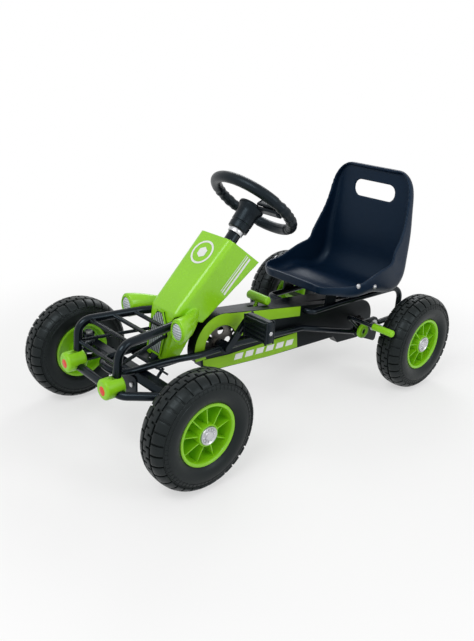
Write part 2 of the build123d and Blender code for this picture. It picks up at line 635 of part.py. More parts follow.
boss_bottom = COLUMN_TOP + GAP
ring_plane = Plane(origin=STEERING_CENTRE, x_dir=(1, 0, 0), z_dir=column_plane(0).y_dir)
with BuildPart() as steering_shaft:
    with BuildSketch(column_plane(pitman_distance)):
        Circle(SHAFT_DIAMETER / 2)
    extrude(amount=HUB_TOP - HUB_PLATE - pitman_distance)
steering_shaft.part.label = "steering_shaft"
export_step(steering_shaft.part, "parts/steering_shaft.step")

with BuildPart() as steering_hub:
    with BuildSketch(column_plane(boss_bottom)):
        Circle(BOSS_DIAMETER / 2)
    extrude(amount=HUB_TOP - HUB_PLATE - boss_bottom)
    with BuildSketch(column_plane(HUB_TOP - HUB_PLATE)):
        Circle(HUB_PAD_DIAMETER / 2)
        with PolarLocations(STEERING_RING_RADIUS / 2, SPOKES):
            Rectangle(STEERING_RING_RADIUS, SPOKE_WIDTH)
    extrude(amount=HUB_PLATE)
    with BuildSketch(column_plane(boss_bottom)):
        Circle(SHAFT_DIAMETER / 2)
    extrude(amount=HUB_TOP - HUB_PLATE - boss_bottom, mode=Mode.SUBTRACT)
    with BuildSketch(ring_plane):
        with Locations((STEERING_RING_RADIUS, 0)):
            Circle(STEERING_GRIP_RADIUS)
    revolve(axis=Axis(STEERING_CENTRE, COLUMN_AXIS), mode=Mode.SUBTRACT)
steering_hub.part.label = "steering_hub"
export_step(steering_hub.part, "parts/steering_hub.step")

with BuildPart() as steering_ring:
    with BuildSketch(ring_plane):
        with Locations((STEERING_RING_RADIUS, 0)):
            Circle(STEERING_GRIP_RADIUS)
    revolve(axis=Axis(STEERING_CENTRE, COLUMN_AXIS))
steering_ring.part.label = "steering_ring"
export_step(steering_ring.part, "parts/steering_ring.step")

# ---------------------------------------------------------------- bumper
post_y = FRONT_AXLE_Y - 85
bar_y = FRONT_AXLE_Y - 92.5
bar_points = [
    (BUMPER_CAP_X + 26, bar_y, BUMPER_BAR_Z),
    (KINGPIN_X - 28, FRONT_AXLE_Y - 28, BUMPER_BAR_Z),
    (KINGPIN_X - 20, FRONT_AXLE_Y, BUMPER_BAR_Z),
]
with BuildPart() as bumper_bar:
    add(bent_tube(mirrored_path(bar_points), [20, 30, 30, 20], BUMPER_DIAMETER))
    add(front_axle_beam.part, mode=Mode.SUBTRACT)
bumper_bar.part.label = "bumper_bar"
export_step(bumper_bar.part, "parts/bumper_bar.step")

upper_solids = []
for name, side in SIDES.items():
    upper_points = [
        (side * BUMPER_CAP_X, post_y - 3, BUMPER_BAR_Z + BUMPER_DIAMETER / 2),
        (side * (BUMPER_CAP_X + 5), post_y + 6, UPPER_BAR_Z),
        (side * 57, FRONT_AXLE_Y + 78, UPPER_BAR_Z),
        (side * 12, FRONT_AXLE_Y + 160, UPPER_BAR_Z - 1.5),
    ]
    with BuildPart() as bumper_tube:
        add(bent_tube(upper_points, [32, 120], BUMPER_DIAMETER))
        add(column_plug.part, mode=Mode.SUBTRACT)
        add(bumper_bar.part, mode=Mode.SUBTRACT)
    upper_solids.append(bumper_tube.part)
    bumper_tube.part.label = f"bumper_tube_{name}"
    export_step(bumper_tube.part, f"parts/bumper_tube_{name}.step")

rod_places = [
    (82.0, post_y + 4, 226.0), (77.5, FRONT_AXLE_Y - 53, UPPER_BAR_Z - 1),
    (70.5, FRONT_AXLE_Y + 1, UPPER_BAR_Z), (60.5, FRONT_AXLE_Y + 51, UPPER_BAR_Z),
]
stay_ends = [(81.0, post_y + 2, 228.0), (12.0, FRONT_AXLE_Y + 122, 240.0)]
with BuildPart() as bumper_rods:
    for x, y, z in rod_places:
        with BuildSketch(side_plane(0)):
            with Locations((y, z)):
                Circle(ROD_DIAMETER / 2)
        extrude(amount=x, both=True)
    for side in SIDES.values():
        add(bent_tube([(side * x, y, z) for x, y, z in stay_ends], None, STAY_DIAMETER))
    add(column_plug.part, mode=Mode.SUBTRACT)
    for solid in upper_solids:
        add(solid, mode=Mode.SUBTRACT)
bumper_rods.part.label = "bumper_rods"
export_step(bumper_rods.part, "parts/bumper_rods.step")

cap_front_y = FRONT_AXLE_Y - NOSE_OVERHANG


def cap_plane(side, z):
    """Upright plane on the front face of a bumper cap, facing back."""
    return Plane(origin=(side * BUMPER_CAP_X, cap_front_y, z), x_dir=(1, 0, 0), z_dir=(0, 1, 0))


with BuildPart() as bumper_caps:
    for side in SIDES.values():
        with BuildSketch(cap_plane(side, BUMPER_CAP_Z)):
            Circle(BUMPER_CAP_DIAMETER / 2)
        extrude(amount=BUMPER_CAP_LENGTH)
    fillet(bumper_caps.edges().filter_by(GeomType.CIRCLE), BUMPER_CAP_ROUND)
    for side in SIDES.values():
        with BuildSketch(cap_plane(side, REFLECTOR_Z)):
            Circle(REFLECTOR_DIAMETER / 2)
        extrude(amount=REFLECTOR_THICKNESS, mode=Mode.SUBTRACT)
    add(bumper_bar.part, mode=Mode.SUBTRACT)
    for solid in upper_solids:
        add(solid, mode=Mode.SUBTRACT)
bumper_caps.part.label = "bumper_caps"
export_step(bumper_caps.part, "parts/bumper_caps.step")

with BuildPart() as bumper_reflectors:
    for side in SIDES.values():
        with BuildSketch(cap_plane(side, REFLECTOR_Z)):
            Circle(REFLECTOR_DIAMETER / 2)
        extrude(amount=REFLECTOR_THICKNESS)
bumper_reflectors.part.label = "bumper_reflectors"
export_step(bumper_reflectors.part, "parts/bumper_reflectors.step")

# ---------------------------------------------------------------- drive
with BuildPart() as crank:
    with BuildSketch(side_plane(0)):
        with Locations((CRANK_Y, CRANK_Z)):
            Circle(CRANK_AXLE_DIAMETER / 2)
    extrude(amount=ARM_INNER_X, both=True)
    for side in SIDES.values():
        reach = CRANK_RADIUS * side
        pedal_y = CRANK_Y + reach * cos(radians(CRANK_ANGLE))
        pedal_z = CRANK_Z + reach * sin(radians(CRANK_ANGLE))
        with BuildSketch(side_plane(side * ARM_INNER_X)):
            with Locations(((CRANK_Y + pedal_y) / 2, (CRANK_Z + pedal_z) / 2)):
                SlotCenterToCenter(CRANK_RADIUS, ARM_WIDTH, rotation=CRANK_ANGLE)
        extrude(amount=side * ARM_THICKNESS)
        with BuildSketch(side_plane(side * (ARM_INNER_X + ARM_THICKNESS))):
            with Locations((pedal_y, pedal_z)):
                Circle(SPINDLE_DIAMETER / 2)
        extrude(amount=side * (PEDAL_GAP + PEDAL_LENGTH - SPINDLE_END))
crank.part.label = "crank"
export_step(crank.part, "parts/crank.step")

for name, side in SIDES.items():
    pedal_y = CRANK_Y + side * CRANK_RADIUS * cos(radians(CRANK_ANGLE))
    pedal_z = CRANK_Z + side * CRANK_RADIUS * sin(radians(CRANK_ANGLE))
    with BuildPart() as pedal:
        with BuildSketch(side_plane(side * (ARM_INNER_X + ARM_THICKNESS + PEDAL_GAP))):
            with Locations((pedal_y, pedal_z)):
                RectangleRounded(PEDAL_DEPTH, PEDAL_HEIGHT, PEDAL_ROUND)
        extrude(amount=side * PEDAL_LENGTH)
        chamfer(pedal.faces().filter_by(Axis.X).edges(), 1.5)
        with BuildSketch(side_plane(side * (ARM_INNER_X + ARM_THICKNESS))):
            with Locations((pedal_y, pedal_z)):
                Circle(SPINDLE_DIAMETER / 2 + RUNNING)
        extrude(amount=side * (PEDAL_GAP + PEDAL_LENGTH - SPINDLE_END + GAP), mode=Mode.SUBTRACT)
    pedal.part.label = f"pedal_{name}"
    export_step(pedal.part, f"parts/pedal_{name}.step")

for name, teeth, y, z, bore in (
        ("chainring", CHAINRING_TEETH, CRANK_Y, CRANK_Z, CRANK_AXLE_DIAMETER / 2),
        ("rear_sprocket", SPROCKET_TEETH, REAR_AXLE_Y, AXLE_Z, REAR_AXLE_RADIUS)):
    with BuildPart() as sprocket:
        with BuildSketch(side_plane(CHAIN_X - SPROCKET_THICKNESS / 2)):
            with Locations((y, z)):
                Circle(pitch_radius(teeth) + TOOTH_HEIGHT)
                with PolarLocations(pitch_radius(teeth), teeth):
                    Circle(ROLLER_DIAMETER / 2, mode=Mode.SUBTRACT)
                if name == "chainring":
                    with PolarLocations(CHAINRING_HOLE_RADIUS, 5):
                        Circle(CHAINRING_HOLE_DIAMETER / 2, mode=Mode.SUBTRACT)
        extrude(amount=SPROCKET_THICKNESS)
        with BuildSketch(side_plane(CHAIN_X - SPROCKET_HUB_WIDTH / 2)):
            with Locations((y, z)):
                Circle(SPROCKET_HUB_RADIUS)
        extrude(amount=SPROCKET_HUB_WIDTH)
        with BuildSketch(side_plane(CHAIN_X - SPROCKET_HUB_WIDTH / 2)):
            with Locations((y, z)):
                Circle(bore)
        extrude(amount=SPROCKET_HUB_WIDTH, mode=Mode.SUBTRACT)
    sprocket.part.label = name
    export_step(sprocket.part, f"parts/{name}.step")

CHAIN_OFFSET = (SPROCKET_THICKNESS + CHAIN_PLATE) / 2 + CHAIN_CLEARANCE
with BuildPart() as chain:
    for side in SIDES.values():
        with BuildSketch(side_plane(CHAIN_X + side * CHAIN_OFFSET - CHAIN_PLATE / 2)):
            with BuildLine():
                CenterArc((CRANK_Y, CRANK_Z), pitch_radius(CHAINRING_TEETH) + CHAIN_HEIGHT / 2, 0, 360)
                CenterArc((REAR_AXLE_Y, AXLE_Z), pitch_radius(SPROCKET_TEETH) + CHAIN_HEIGHT / 2, 0, 360)
            make_hull()
            with BuildLine(mode=Mode.PRIVATE) as inner_edge:
                CenterArc((CRANK_Y, CRANK_Z), pitch_radius(CHAINRING_TEETH) - CHAIN_HEIGHT / 2, 0, 360)
                CenterArc((REAR_AXLE_Y, AXLE_Z), pitch_radius(SPROCKET_TEETH) - CHAIN_HEIGHT / 2, 0, 360)
            make_hull(inner_edge.edges(), mode=Mode.SUBTRACT)
        extrude(amount=CHAIN_PLATE)
chain.part.label = "chain"
export_step(chain.part, "parts/chain.step")

# ---------------------------------------------------------------- chain guard
def guard_line(y):
    """Height of the guard's straight top edge, the outer tangent of its two round ends."""
    run = REAR_AXLE_Y - CRANK_Y
    drop = CRANK_Z - AXLE_Z
    slope = -atan2(drop, run) - asin((GUARD_FRONT_RADIUS - GUARD_REAR_RADIUS) / hypot(run, drop))
    return CRANK_Z + GUARD_FRONT_RADIUS / cos(slope) + (y - CRANK_Y) * tan(slope)


guard_bottom = [
    (CRANK_Y - 62, CRANK_Z - 24), (CRANK_Y - 57, CRANK_Z - 42), (CRANK_Y - 7, CRANK_Z - 62),
    (CRANK_Y + 172, AXLE_Z - 19), (REAR_AXLE_Y - 106, AXLE_Z - 29),
]
with BuildPart() as chain_guard:
    for wall, inner_x in ((0, GUARD_INNER_X), (GUARD_WALL, GUARD_INNER_X)):
        outer_x = GUARD_OUTER_X - wall
        mode = Mode.SUBTRACT if wall else Mode.ADD
        with BuildSketch(side_plane(inner_x)):
            with BuildLine():
                CenterArc((CRANK_Y, CRANK_Z), GUARD_FRONT_RADIUS - wall, 0, 360)
                CenterArc((REAR_AXLE_Y, AXLE_Z), GUARD_REAR_RADIUS - wall, 0, 360)
            make_hull()
            with BuildLine():
                Polyline(
                    (CRANK_Y - 2 * GUARD_FRONT_RADIUS, CRANK_Z - 24 + wall),
                    (guard_bottom[0][0] + wall, CRANK_Z - 24 + wall),
                    *[(y + wall / 2, z + wall) for y, z in guard_bottom[1:]],
                    (REAR_AXLE_Y - 30, AXLE_Z - 2 * GUARD_REAR_RADIUS),
                    (CRANK_Y - 2 * GUARD_FRONT_RADIUS, AXLE_Z - 2 * GUARD_REAR_RADIUS), close=True)
            make_face(mode=Mode.SUBTRACT)
        extrude(amount=outer_x - inner_x, mode=mode)
    with BuildSketch(side_plane(GUARD_OUTER_X)):
        with Locations((CRANK_Y, CRANK_Z)):
            Circle(WINDOW_RADIUS)
        with BuildLine():
            Polyline(
                (CRANK_Y - 2 * WINDOW_RADIUS, CRANK_Z + 7), (CRANK_Y + 2 * WINDOW_RADIUS, CRANK_Z - 28),
                (CRANK_Y + 2 * WINDOW_RADIUS, CRANK_Z - 3 * WINDOW_RADIUS),
                (CRANK_Y - 2 * WINDOW_RADIUS, CRANK_Z - 3 * WINDOW_RADIUS), close=True)
        make_face(mode=Mode.SUBTRACT)
    extrude(amount=-2 * GUARD_WALL, mode=Mode.SUBTRACT)
    with BuildSketch(side_plane(GUARD_OUTER_X)):
        with Locations((REAR_AXLE_Y, AXLE_Z)):
            Circle(REAR_AXLE_RADIUS + 4)
        with Locations((HOOP_START_Y, HOOP_Z)):
            Circle(HOOP_DIAMETER / 2 + 1)
    extrude(amount=-2 * GUARD_WALL, mode=Mode.SUBTRACT)
chain_guard.part.label = "chain_guard"
export_step(chain_guard.part, "parts/chain_guard.step")

trim_edge_y = CRANK_Y + 272
with BuildPart() as guard_trim:
    with BuildSketch(side_plane(GUARD_OUTER_X)):
        with BuildLine():
            top_start = (CRANK_Y, CRANK_Z + GUARD_FRONT_RADIUS - 1)
            Polyline(
                top_start, (trim_edge_y, guard_line(trim_edge_y) - 1),
                (trim_edge_y, guard_line(trim_edge_y) - 28),
                (CRANK_Y, CRANK_Z + WINDOW_RADIUS + 1), close=True)
        make_face()
        with Locations((CRANK_Y, CRANK_Z)):
            Circle(GUARD_FRONT_RADIUS - 1)
        with Locations((CRANK_Y, CRANK_Z)):
            Circle(WINDOW_RADIUS + 1, mode=Mode.SUBTRACT)
        with Locations((CRANK_Y, CRANK_Z - 24 - GUARD_FRONT_RADIUS)):
            Rectangle(3 * GUARD_FRONT_RADIUS, 2 * GUARD_FRONT_RADIUS, mode=Mode.SUBTRACT)
        with Locations((CRANK_Y + 1.5 * WINDOW_RADIUS, CRANK_Z + 8 - GUARD_FRONT_RADIUS / 2)):
            Rectangle(2 * WINDOW_RADIUS, GUARD_FRONT_RADIUS, mode=Mode.SUBTRACT)
    extrude(amount=GUARD_TRIM)
    with BuildSketch(side_plane(GUARD_OUTER_X)):
        with BuildLine():
            Polyline(
                (CRANK_Y - 54, CRANK_Z - 25), (CRANK_Y - 52, CRANK_Z - 39), (CRANK_Y - 7, CRANK_Z - 60),
                (CRANK_Y + 172, AXLE_Z - 18), (trim_edge_y, AXLE_Z - 20), (trim_edge_y - 6, AXLE_Z + 24),
                (CRANK_Y + 62, CRANK_Z - 32), (CRANK_Y + 24, CRANK_Z - 32), close=True)
        make_face()
        with Locations((CRANK_Y, CRANK_Z)):
            Circle(SHELL_RADIUS + 2, mode=Mode.SUBTRACT)
    extrude(amount=GUARD_TRIM)
guard_trim.part.label = "guard_trim"
export_step(guard_trim.part, "parts/guard_trim.step")

# ---------------------------------------------------------------- rear axle
axle_end_x = WHEEL_X + HALF_RIM - GAP
with BuildPart() as rear_axle:
    with BuildSketch(side_plane(0)):
        with Locations((REAR_AXLE_Y, AXLE_Z)):
            Circle(REAR_AXLE_RADIUS)
    extrude(amount=axle_end_x, both=True)
rear_axle.part.label = "rear_axle"
export_step(rear_axle.part, "parts/rear_axle.step")

HANGER_X = BEAM_WIDTH / 2 + PLATE / 2
with BuildPart() as rear_axle_bearings:
    for x in (-AXLE_PLATE_X, -HANGER_X, HANGER_X, AXLE_PLATE_X):
        with BuildSketch(side_plane(x)):
            with Locations((REAR_AXLE_Y, AXLE_Z)):
                Circle(BEARING_RADIUS)
                Circle(REAR_AXLE_RADIUS + RUNNING, mode=Mode.SUBTRACT)
        extrude(amount=BEARING_WIDTH / 2, both=True)
rear_axle_bearings.part.label = "rear_axle_bearings"
export_step(rear_axle_bearings.part, "parts/rear_axle_bearings.step")

beam_middle_z = beam_top(REAR_AXLE_Y) - BEAM_HEIGHT / 2
with BuildPart() as rear_axle_plates:
    for side in SIDES.values():
        with BuildSketch(side_plane(side * BEAM_WIDTH / 2)):
            with Locations((REAR_AXLE_Y - 8, beam_middle_z)):
                RectangleRounded(64, 34, 4)
            with BuildLine():
                CenterArc((REAR_AXLE_Y, AXLE_Z), BEARING_RADIUS + 8, 0, 360)
                CenterArc((REAR_AXLE_Y - 6, beam_middle_z), BEARING_RADIUS + 4, 0, 360)
            make_hull()
            with Locations((REAR_AXLE_Y, AXLE_Z)):
                Circle(BEARING_RADIUS, mode=Mode.SUBTRACT)
        extrude(amount=side * PLATE)
        with BuildSketch(side_plane(side * (AXLE_PLATE_X - PLATE / 2))):
            with BuildLine():
                CenterArc((REAR_AXLE_Y, AXLE_Z), BEARING_RADIUS + 8, 0, 360)
                CenterArc((BRAKE_PIVOT_Y, BRAKE_PIVOT_Z), 20, 0, 360)
                CenterArc((REAR_AXLE_Y + 10, AXLE_Z - 42), 9, 0, 360)
            make_hull()
            with Locations((REAR_AXLE_Y, AXLE_Z)):
                Circle(BEARING_RADIUS, mode=Mode.SUBTRACT)
        extrude(amount=side * PLATE)
    add(lower_frame_loop.part, mode=Mode.SUBTRACT)
rear_axle_plates.part.label = "rear_axle_plates"
export_step(rear_axle_plates.part, "parts/rear_axle_plates.step")

# ---------------------------------------------------------------- seat hoops and brackets
hoop_solids = []
for name, side in SIDES.items():
    hoop_points = [
        (side * BEAM_WIDTH / 2, HOOP_START_Y, HOOP_Z),
        (side * HOOP_X, HOOP_START_Y, HOOP_Z),
        (side * HOOP_X, HOOP_START_Y + 132, HOOP_Z),
        (side * AXLE_PLATE_X, HOOP_REAR_Y, HOOP_Z + 12),
        (side * AXLE_PLATE_X, HOOP_REAR_Y, AXLE_Z + 1),
        (side * AXLE_PLATE_X, REAR_AXLE_Y + 20, AXLE_Z + 1),
    ]
    with BuildPart() as seat_hoop:
        add(bent_tube(hoop_points, [18, 150, 35, 30], HOOP_DIAMETER))
        add(rear_axle_plates.part, mode=Mode.SUBTRACT)
        add(rear_axle_bearings.part, mode=Mode.SUBTRACT)
    hoop_solids.append(seat_hoop.part)
    seat_hoop.part.label = f"seat_hoop_{name}"
    export_step(seat_hoop.part, f"parts/seat_hoop_{name}.step")


def seat_floor(y):
    """Height of the seat's flat underside."""
    return SEAT_FLOOR_Z - y * tan(radians(BEAM_DROP))


def seat_plane(y):
    """Plane across the seat's underside, square to its slope."""
    return Plane(origin=(0, y, seat_floor(y)), x_dir=(1, 0, 0), z_dir=BEAM_AXIS)


# ---------------------------------------------------------------- seat
back_y = REAR_AXLE_Y + SEAT_BACK_SETBACK
back_floor = seat_floor(back_y)

# slices from the front lip along the pan, round the heel and up the backrest to the crest
pan_slices = [
    (SEAT_FRONT_Y + 1, seat_floor(SEAT_FRONT_Y) + 9, BEAM_DROP, SEAT_HALF_WIDTH - 82, 15, 6),
    (SEAT_FRONT_Y + 14, seat_floor(SEAT_FRONT_Y) + 1, BEAM_DROP, SEAT_HALF_WIDTH - 37, 25, 12),
    (SEAT_FRONT_Y + 50, seat_floor(SEAT_FRONT_Y + 50), BEAM_DROP, SEAT_HALF_WIDTH - 13, 32, 20),
    (SEAT_FRONT_Y + 125, seat_floor(SEAT_FRONT_Y + 125), BEAM_DROP + 1, SEAT_HALF_WIDTH - 2, 46, 24),
    (back_y - 100, seat_floor(back_y - 100), 12, SEAT_HALF_WIDTH, 78, 26),
    (back_y - 42, seat_floor(back_y - 42) + 2, 28, SEAT_HALF_WIDTH - 1, 98, 28),
]
back_slices = [
    (back_y - 5, back_floor + 40, 48, SEAT_HALF_WIDTH - 3, 98, 28),
    (back_y + 5, back_floor + 110, 66, SEAT_HALF_WIDTH - 5, 74, 26),
    (back_y + 8, SEAT_TOP_Z - 157, 84, SEAT_HALF_WIDTH - 8, 50, 22),
    (back_y + 10, SEAT_TOP_Z - 102, 90, SEAT_HALF_WIDTH - 15, 36, 18),
    (back_y + 10, SEAT_TOP_Z - 52, 90, SEAT_HALF_WIDTH - 22, 27, 14),
    (back_y + 9, SEAT_TOP_Z - 17, 90, SEAT_HALF_WIDTH - 40, 20, 10),
    (back_y + 6, SEAT_TOP_Z, 90, SEAT_HALF_WIDTH - 78, 10, 4),
]
with BuildPart() as seat_body:
    for slice_sizes in pan_slices + back_slices:
        add(channel_section(*slice_sizes))
    loft()
seat_outer = seat_body.part

# the hollow starts behind the front lip, where the pan rises to it, and ends below the crest
with BuildPart() as seat_cavity:
    add(channel_section(
        SEAT_FRONT_Y + 8, seat_floor(SEAT_FRONT_Y) + 18, BEAM_DROP,
        SEAT_HALF_WIDTH - 92, CAVITY_REACH, SEAT_WALL))
    for slice_sizes, floor in zip(pan_slices[1:], (16, 10, 6, SEAT_WALL, SEAT_WALL)):
        add(channel_section(*hollowed(slice_sizes, SEAT_SIDE_WALL, floor)))
    for slice_sizes in back_slices[:-1]:
        add(channel_section(*hollowed(slice_sizes, SEAT_SIDE_WALL, SEAT_WALL)))
    add(channel_section(back_y + 2, SEAT_TOP_Z - 8, 90, SEAT_HALF_WIDTH - 82, CAVITY_REACH, SEAT_WALL))
    loft()

with BuildPart() as seat_shell:
    add(seat_outer)
    add(seat_cavity.part, mode=Mode.SUBTRACT)
    with BuildSketch(Plane.XZ.offset(-back_y - 50)):
        with Locations((0, HANDLE_Z)):
            RectangleRounded(HANDLE_WIDTH, HANDLE_HEIGHT, 18)
    extrude(amount=100, mode=Mode.SUBTRACT)
seat_shell.part.label = "seat_shell"
export_step(seat_shell.part, "parts/seat_shell.step")

bracket_y = HOOP_START_Y + 60
with BuildPart() as seat_brackets:
    with BuildSketch(seat_plane(bracket_y)):
        with Locations((0, PLATE / 2)):
            Rectangle(2 * 78 + HOOP_DIAMETER, PLATE)
        with Locations((-78, 20), (78, 20)):
            Rectangle(PLATE, 40)
    extrude(amount=40)
    for side in SIDES.values():
        with BuildSketch(Plane.XY.offset(HOOP_Z + 14)):
            with Locations((side * 98.5, REAR_AXLE_Y + 52)):
                Rectangle(HOOP_DIAMETER, 24)
        extrude(amount=SEAT_BACK_SETBACK - 32)
    add(seat_outer, mode=Mode.SUBTRACT)
    for solid in hoop_solids:
        add(solid, mode=Mode.SUBTRACT)
seat_brackets.part.label = "seat_brackets"
export_step(seat_brackets.part, "parts/seat_brackets.step")

# ---------------------------------------------------------------- fairing
CROWN_TOP = Vector(0, STEERING_CENTRE.Y - 118, STEERING_HEIGHT - 58)
NOSE_CORNER = Vector(0, FRONT_AXLE_Y + 86, CRANK_Z + 104)
CHIN = Vector(0, FRONT_AXLE_Y + 64, WEB_TOP_Z)


def crown(share):
    """Point on the fairing's crown line, from the nose corner at 0 to its top edge at 1."""
    return NOSE_CORNER + (CROWN_TOP - NOSE_CORNER) * share


# slices from below the chin, up the flat nose, round its corner and along the flat crown
fairing_slices = [
    (CHIN.Y - 4, CHIN.Z - 16, -99, 33, 38, 9),
    (NOSE_CORNER.Y - 2, NOSE_CORNER.Z - 12, -104, 48, 74, 13),
    (NOSE_CORNER.Y + 2, NOSE_CORNER.Z, -117, 49.5, 78, 14),
    (crown(0.1).Y, crown(0.1).Z, -130, 50.5, 82, 15),
    (crown(1).Y, crown(1).Z, -126.6, 57, 116, 17),
]
past_chin = (CHIN.Y - 8, CHIN.Z - 40, -99, 30, 38, 9)
past_top = (crown(1.15).Y, crown(1.15).Z, -126.6, 58, 116, 17)
with BuildPart() as fairing_cavity:
    for slice_sizes in [past_chin] + fairing_slices + [past_top]:
        add(channel_section(*hollowed(slice_sizes, FAIRING_WALL, FAIRING_WALL)))
    loft(ruled=True)

clear_tubes = []
for name, side in SIDES.items():
    clear_points = [
        (side * 57, FRONT_AXLE_Y + 40, UPPER_BAR_Z),
        (side * 57, FRONT_AXLE_Y + 78, UPPER_BAR_Z),
        (side * 12, FRONT_AXLE_Y + 160, UPPER_BAR_Z - 1.5),
    ]
    clear_tubes.append(bent_tube(clear_points, [70], BUMPER_DIAMETER + 3))
    clear_tubes.append(bent_tube([(side * x, y, z) for x, y, z in stay_ends], None, STAY_DIAMETER + 3))

LAMP_FACE_Y = FRONT_AXLE_Y + 54.5


def lamp_plane(side, setback, inset):
    """Upright plane across a headlight pod, behind its face and nearer the middle of the kart."""
    centre = (side * (LAMP_X - inset), LAMP_FACE_Y + setback, LAMP_Z)
    return Plane(origin=centre, x_dir=(1, 0, 0), z_dir=(0, -1, 0))


with BuildPart() as fairing_outer:
    for slice_sizes in fairing_slices:
        add(channel_section(*slice_sizes))
    loft(ruled=True)
    with BuildSketch(Plane.XY.offset(WEB_TOP_Z)):
        Rectangle(2 * LAMP_X, 2 * WHEELBASE)
    extrude(amount=-2 * LAMP_HEIGHT, mode=Mode.SUBTRACT)

with BuildPart() as fairing_blank:
    add(fairing_outer.part)
    for side in SIDES.values():
        with BuildSketch(lamp_plane(side, 0, 0)):
            Ellipse(LAMP_WIDTH / 2, LAMP_HEIGHT / 2)
        with BuildSketch(lamp_plane(side, 24, 7)):
            Ellipse(LAMP_WIDTH / 2 - 1, LAMP_HEIGHT / 2 - 2)
        with BuildSketch(lamp_plane(side, 62, 30)):
            Ellipse(LAMP_WIDTH / 2 - 5, LAMP_HEIGHT / 2 - 8)
        with BuildSketch(lamp_plane(side, 93, 54)):
            Ellipse(LAMP_WIDTH / 4, LAMP_HEIGHT / 3)
        loft()
    add(fairing_cavity.part, mode=Mode.SUBTRACT)
    for side in SIDES.values():
        with BuildSketch(lamp_plane(side, 0, 0)):
            Ellipse(LENS_WIDTH / 2, LENS_HEIGHT / 2)
        extrude(amount=-LENS_THICKNESS, mode=Mode.SUBTRACT)
    for tube in clear_tubes:
        add(tube, mode=Mode.SUBTRACT)
    add(column_plug.part, mode=Mode.SUBTRACT)

# the tube clearances shave slivers off the lower edges, and only the shell itself is kept
with BuildPart() as fairing_shell:
    add(fairing_blank.part.solids().sort_by(SortBy.VOLUME)[-1])
fairing_shell.part.label = "fairing_shell"
export_step(fairing_shell.part, "parts/fairing_shell.step")

with BuildPart() as headlight_lenses:
    for side in SIDES.values():
        with BuildSketch(lamp_plane(side, 0, 0)):
            Ellipse(LENS_WIDTH / 2, LENS_HEIGHT / 2)
        extrude(amount=-LENS_THICKNESS)
headlight_lenses.part.label = "headlight_lenses"
export_step(headlight_lenses.part, "parts/headlight_lenses.step")

nose_run = CHIN - NOSE_CORNER
nose_face = Vector(0, nose_run.Z, -nose_run.Y)
nose_plane = Plane(origin=NOSE_CORNER + nose_run * 0.5, x_dir=(1, 0, 0), z_dir=nose_face)
with BuildPart() as grille:
    with BuildSketch(nose_plane.offset(-GRILLE_DEPTH)):
        with BuildLine():
            Polyline(*mirrored([(24, -46), (30, 22), (10, 52)]), close=True)
        make_face()
        with GridLocations(GRILLE_PITCH, 0, 5, 1):
            SlotOverall(70, GRILLE_PITCH / 2, rotation=90, mode=Mode.SUBTRACT)
    extrude(amount=2 * GRILLE_DEPTH)
    add(fairing_outer.part, mode=Mode.SUBTRACT)
    for tube in clear_tubes:
        add(tube, mode=Mode.SUBTRACT)
    add(column_plug.part, mode=Mode.SUBTRACT)
grille.part.label = "grille"
export_step(grille.part, "parts/grille.step")

# ---------------------------------------------------------------- levers
lever_direction = Vector(0, sin(radians(LEVER_LEAN)), cos(radians(LEVER_LEAN)))
lever_plane = Plane(origin=(0, LEVER_Y, LEVER_PIVOT_Z), x_dir=(1, 0, 0), z_dir=lever_direction)
lever_bar_y = LEVER_Y + 43 * sin(radians(LEVER_LEAN))
lever_bar_z = LEVER_PIVOT_Z + 43 * cos(radians(LEVER_LEAN))
with BuildPart() as gear_lever:
    with BuildSketch(lever_plane):
        Circle(LEVER_STEM_DIAMETER / 2)
    extrude(amount=43)
    with BuildSketch(side_plane(0)):
        with Locations((LEVER_Y, LEVER_PIVOT_Z)):
            Circle(LEVER_STEM_DIAMETER / 2 + 2)
    extrude(amount=BEAM_WIDTH / 2 - BEAM_WALL - 2, both=True)
    with BuildSketch(side_plane(0)):
        with Locations((LEVER_Y, LEVER_PIVOT_Z)):
            Circle(LEVER_PIN_DIAMETER / 2)
    extrude(amount=BEAM_WIDTH / 2, both=True)
    with BuildSketch(side_plane(0)):
        with Locations((lever_bar_y, lever_bar_z)):
            Circle(LEVER_BAR_DIAMETER / 2)
    extrude(amount=LEVER_BAR_LENGTH / 2, both=True)
    fillet(gear_lever.faces().filter_by(Axis.X).sort_by(Axis.X)[0].edges(), 5)
    fillet(gear_lever.faces().filter_by(Axis.X).sort_by(Axis.X)[-1].edges(), 5)
gear_lever.part.label = "gear_lever"
export_step(gear_lever.part, "parts/gear_lever.step")

plate_outer_x = AXLE_PLATE_X + PLATE / 2 + GAP
grip_y = BRAKE_PIVOT_Y - 69
grip_z = BRAKE_PIVOT_Z + 58
brake_points = [
    (plate_outer_x + BRAKE_ROD_DIAMETER / 2, BRAKE_PIVOT_Y, BRAKE_PIVOT_Z),
    (plate_outer_x + BRAKE_ROD_DIAMETER / 2, grip_y, grip_z),
    (BRAKE_GRIP_START_X + BRAKE_GRIP_LENGTH - 3, grip_y, grip_z),
]
with BuildPart() as brake_lever:
    add(bent_tube(brake_points, [24], BRAKE_ROD_DIAMETER))
    with BuildSketch(side_plane(plate_outer_x)):
        with Locations((BRAKE_PIVOT_Y, BRAKE_PIVOT_Z)):
            Circle(BRAKE_KNOB_DIAMETER / 2 - 4)
    extrude(amount=BRAKE_ROD_DIAMETER)
    with BuildSketch(side_plane(plate_outer_x)):
        with Locations((BRAKE_PIVOT_Y, BRAKE_PIVOT_Z)):
            Circle(BRAKE_PIN_RADIUS + RUNNING)
    extrude(amount=BRAKE_ROD_DIAMETER, mode=Mode.SUBTRACT)
brake_lever.part.label = "brake_lever"
export_step(brake_lever.part, "parts/brake_lever.step")

